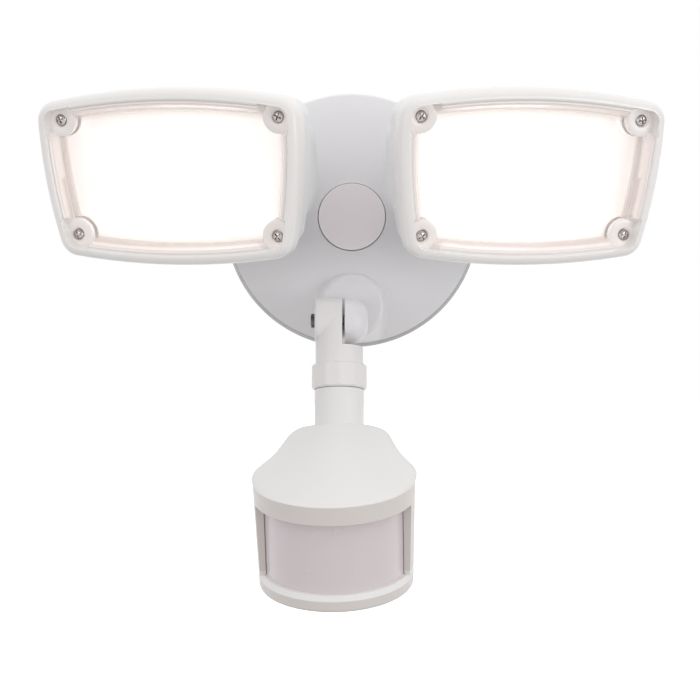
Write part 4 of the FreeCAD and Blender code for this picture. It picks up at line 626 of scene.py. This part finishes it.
def screwGrid(spot, degrees):
    # Pan head h = H (1 - (r / R)^n)^(1/n) less a cross of depth d (1 - k q / reach), q = max(|x|, |z|).
    size = screwShape
    r = np.linspace(0, 1, size["rings"])[:, None] ** size["crowding"] * size["radius"]
    t = np.linspace(0, 2 * np.pi, size["steps"], endpoint=False)[None]
    n = size["roundness"]
    dome = size["height"] * (1 - np.clip(r / size["radius"], 0, 1) ** n) ** (1 / n)
    x, z = np.abs(r * np.cos(t)), np.abs(r * np.sin(t))
    outside = np.minimum(np.maximum(x - size["armReach"], z - size["armWidth"]),
                         np.maximum(z - size["armReach"], x - size["armWidth"]))
    fall = 1 - size["shallower"] * np.maximum(x, z) / size["armReach"]
    height = dome - size["deep"] * fall * softStep(-outside, -size["edge"] / 2, size["edge"])
    twist = t + math.radians(degrees)
    head = np.stack([spot[0] + r * np.cos(twist), -height, spot[1] + r * np.sin(twist)], axis=-1)
    profile = [(size["radius"] * size["under"], -size["sunk"]), (size["shank"], -size["sunk"]),
               (size["shank"], size["length"] - size["point"]), (size["tip"], size["length"]),
               (0.0, size["length"])]
    below = spun(np.array(profile), size["steps"])
    shank = np.stack([spot[0] + below[..., 0], below[..., 2], spot[1] + below[..., 1]], axis=-1)
    return np.concatenate([head, shank])


def makeScrews(side, tag, material):
    grids = [screwGrid(spot, degrees) for spot, degrees in zip(screwSpots, screwShape["turns"][tag])]
    piece = makePiece(tag + "_screws_piece", [placed(grid, headMatrix(side)) for grid in grids],
                      screwShape["crease"])
    piece.data.materials.append(material)
    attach(piece, tag + "_lamp")
    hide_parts(tag + "_lens_screws")


finishes["clear_cover"] = coverMaterial("milkyCover")
finishes["reflector_white"] = trayMaterial("litTray")
nickel = metal("nickelScrew", linear(176, 170, 168), (0.16, 0.3), grain=0.0003)
slotOf = {row["node"]: row["material_slot"] for row in frame["record"]["subparts"]}
for name, node in nodes.items():
    node.data.materials.clear()
    node.data.materials.append(finishes[slotOf[name]])
print("materials")

for side, tag in ((-1, "left"), (1, "right")):
    makeCover(side, tag, finishes["clear_cover"])
    makeTray(side, tag, finishes["reflector_white"])
    makeScrews(side, tag, nickel)
print("lamp pieces")

# ---- stage, lights and camera

stage = {"floorDrop": 0.30, "floorSize": 12.0, "tone": 0.4, "rough": 0.9, "lift": 1.0}


def backdropMaterial(name):
    # Pale ground that reads white to the camera and in reflections, and keeps its shadows.
    material, tree, shader = newMaterial(name)
    shader.inputs["Base Color"].default_value = (stage["tone"], stage["tone"], stage["tone"], 1)
    shader.inputs["Roughness"].default_value = stage["rough"]
    shader.inputs["Specular IOR Level"].default_value = 0.0
    path = tree.nodes.new("ShaderNodeLightPath").outputs
    mirrored = calc(tree, "MAXIMUM", path["Is Glossy Ray"], path["Is Transmission Ray"])
    seen = calc(tree, "MAXIMUM", path["Is Camera Ray"], mirrored)
    shader.inputs["Emission Color"].default_value = (1, 1, 1, 1)
    feed(tree, calc(tree, "MULTIPLY", seen, stage["lift"]), shader.inputs["Emission Strength"])
    return material


floorMesh = bpy.data.meshes.new("floor")
half = stage["floorSize"] / 2
corners = [(x * half, y * half, -stage["floorDrop"]) for x, y in ((-1, -1), (1, -1), (1, 1), (-1, 1))]
floorMesh.from_pydata(corners, [], [(0, 1, 2, 3)])
floor = bpy.data.objects.new("floor", floorMesh)
bpy.context.scene.collection.objects.link(floor)
floorMesh.materials.append(backdropMaterial("paleFloor"))

# strength rises with z of the ray's direction; the camera and clear pieces see one even white
skyLight = {"heights": (-0.5, 0.6), "strengths": (0.6, 1.05), "seen": 1.0}

world = bpy.data.worlds.new("studio")
bpy.context.scene.world = world
world.use_nodes = True
sky = world.node_tree
background = sky.nodes["Background"]
path = sky.nodes.new("ShaderNodeLightPath").outputs
direct = calc(sky, "MAXIMUM", path["Is Camera Ray"], path["Is Transmission Ray"])
split = sky.nodes.new("ShaderNodeSeparateXYZ")
sky.links.new(sky.nodes.new("ShaderNodeTexCoord").outputs["Generated"], split.inputs["Vector"])
dome = mapped(sky, split.outputs["Z"], skyLight["heights"], skyLight["strengths"])
feed(sky, mapped(sky, direct, (0, 1), (dome, skyLight["seen"])), background.inputs["Strength"])
background.inputs["Color"].default_value = (1, 1, 1, 1)

# metres and watts
softLamps = {"aim": (0, 0, -0.05), "size": 0.6,
             "lamps": {"sideLamp": ((1.0, -0.9, -0.15), 4.0), "lowLamp": ((-0.9, -1.0, -0.15), 1.8)}}

for name, (place, power) in softLamps["lamps"].items():
    lamp = bpy.data.lights.new(name, "AREA")
    lamp.shape = "DISK"
    lamp.size = softLamps["size"]
    lamp.energy = power
    holder = bpy.data.objects.new(name, lamp)
    holder.location = place
    holder.rotation_euler = (Vector(softLamps["aim"]) - Vector(place)).to_track_quat("-Z", "Y").to_euler()
    bpy.context.scene.collection.objects.link(holder)

viewPoint = {"place": (-0.0009, -0.806, -0.065), "level": 90, "focalPixels": 1600, "imagePixels": 700,
             "sensor": 36.0}
camera = bpy.data.cameras.new("camera")
camera.sensor_width = viewPoint["sensor"]
camera.lens = viewPoint["focalPixels"] / viewPoint["imagePixels"] * viewPoint["sensor"]
cameraHolder = bpy.data.objects.new("camera", camera)
cameraHolder.location = viewPoint["place"]
cameraHolder.rotation_euler = (math.radians(viewPoint["level"]), 0, 0)
bpy.context.scene.collection.objects.link(cameraHolder)
bpy.context.scene.camera = cameraHolder
bpy.context.scene.view_settings.view_transform = "Standard"
print("stage, lights and camera")
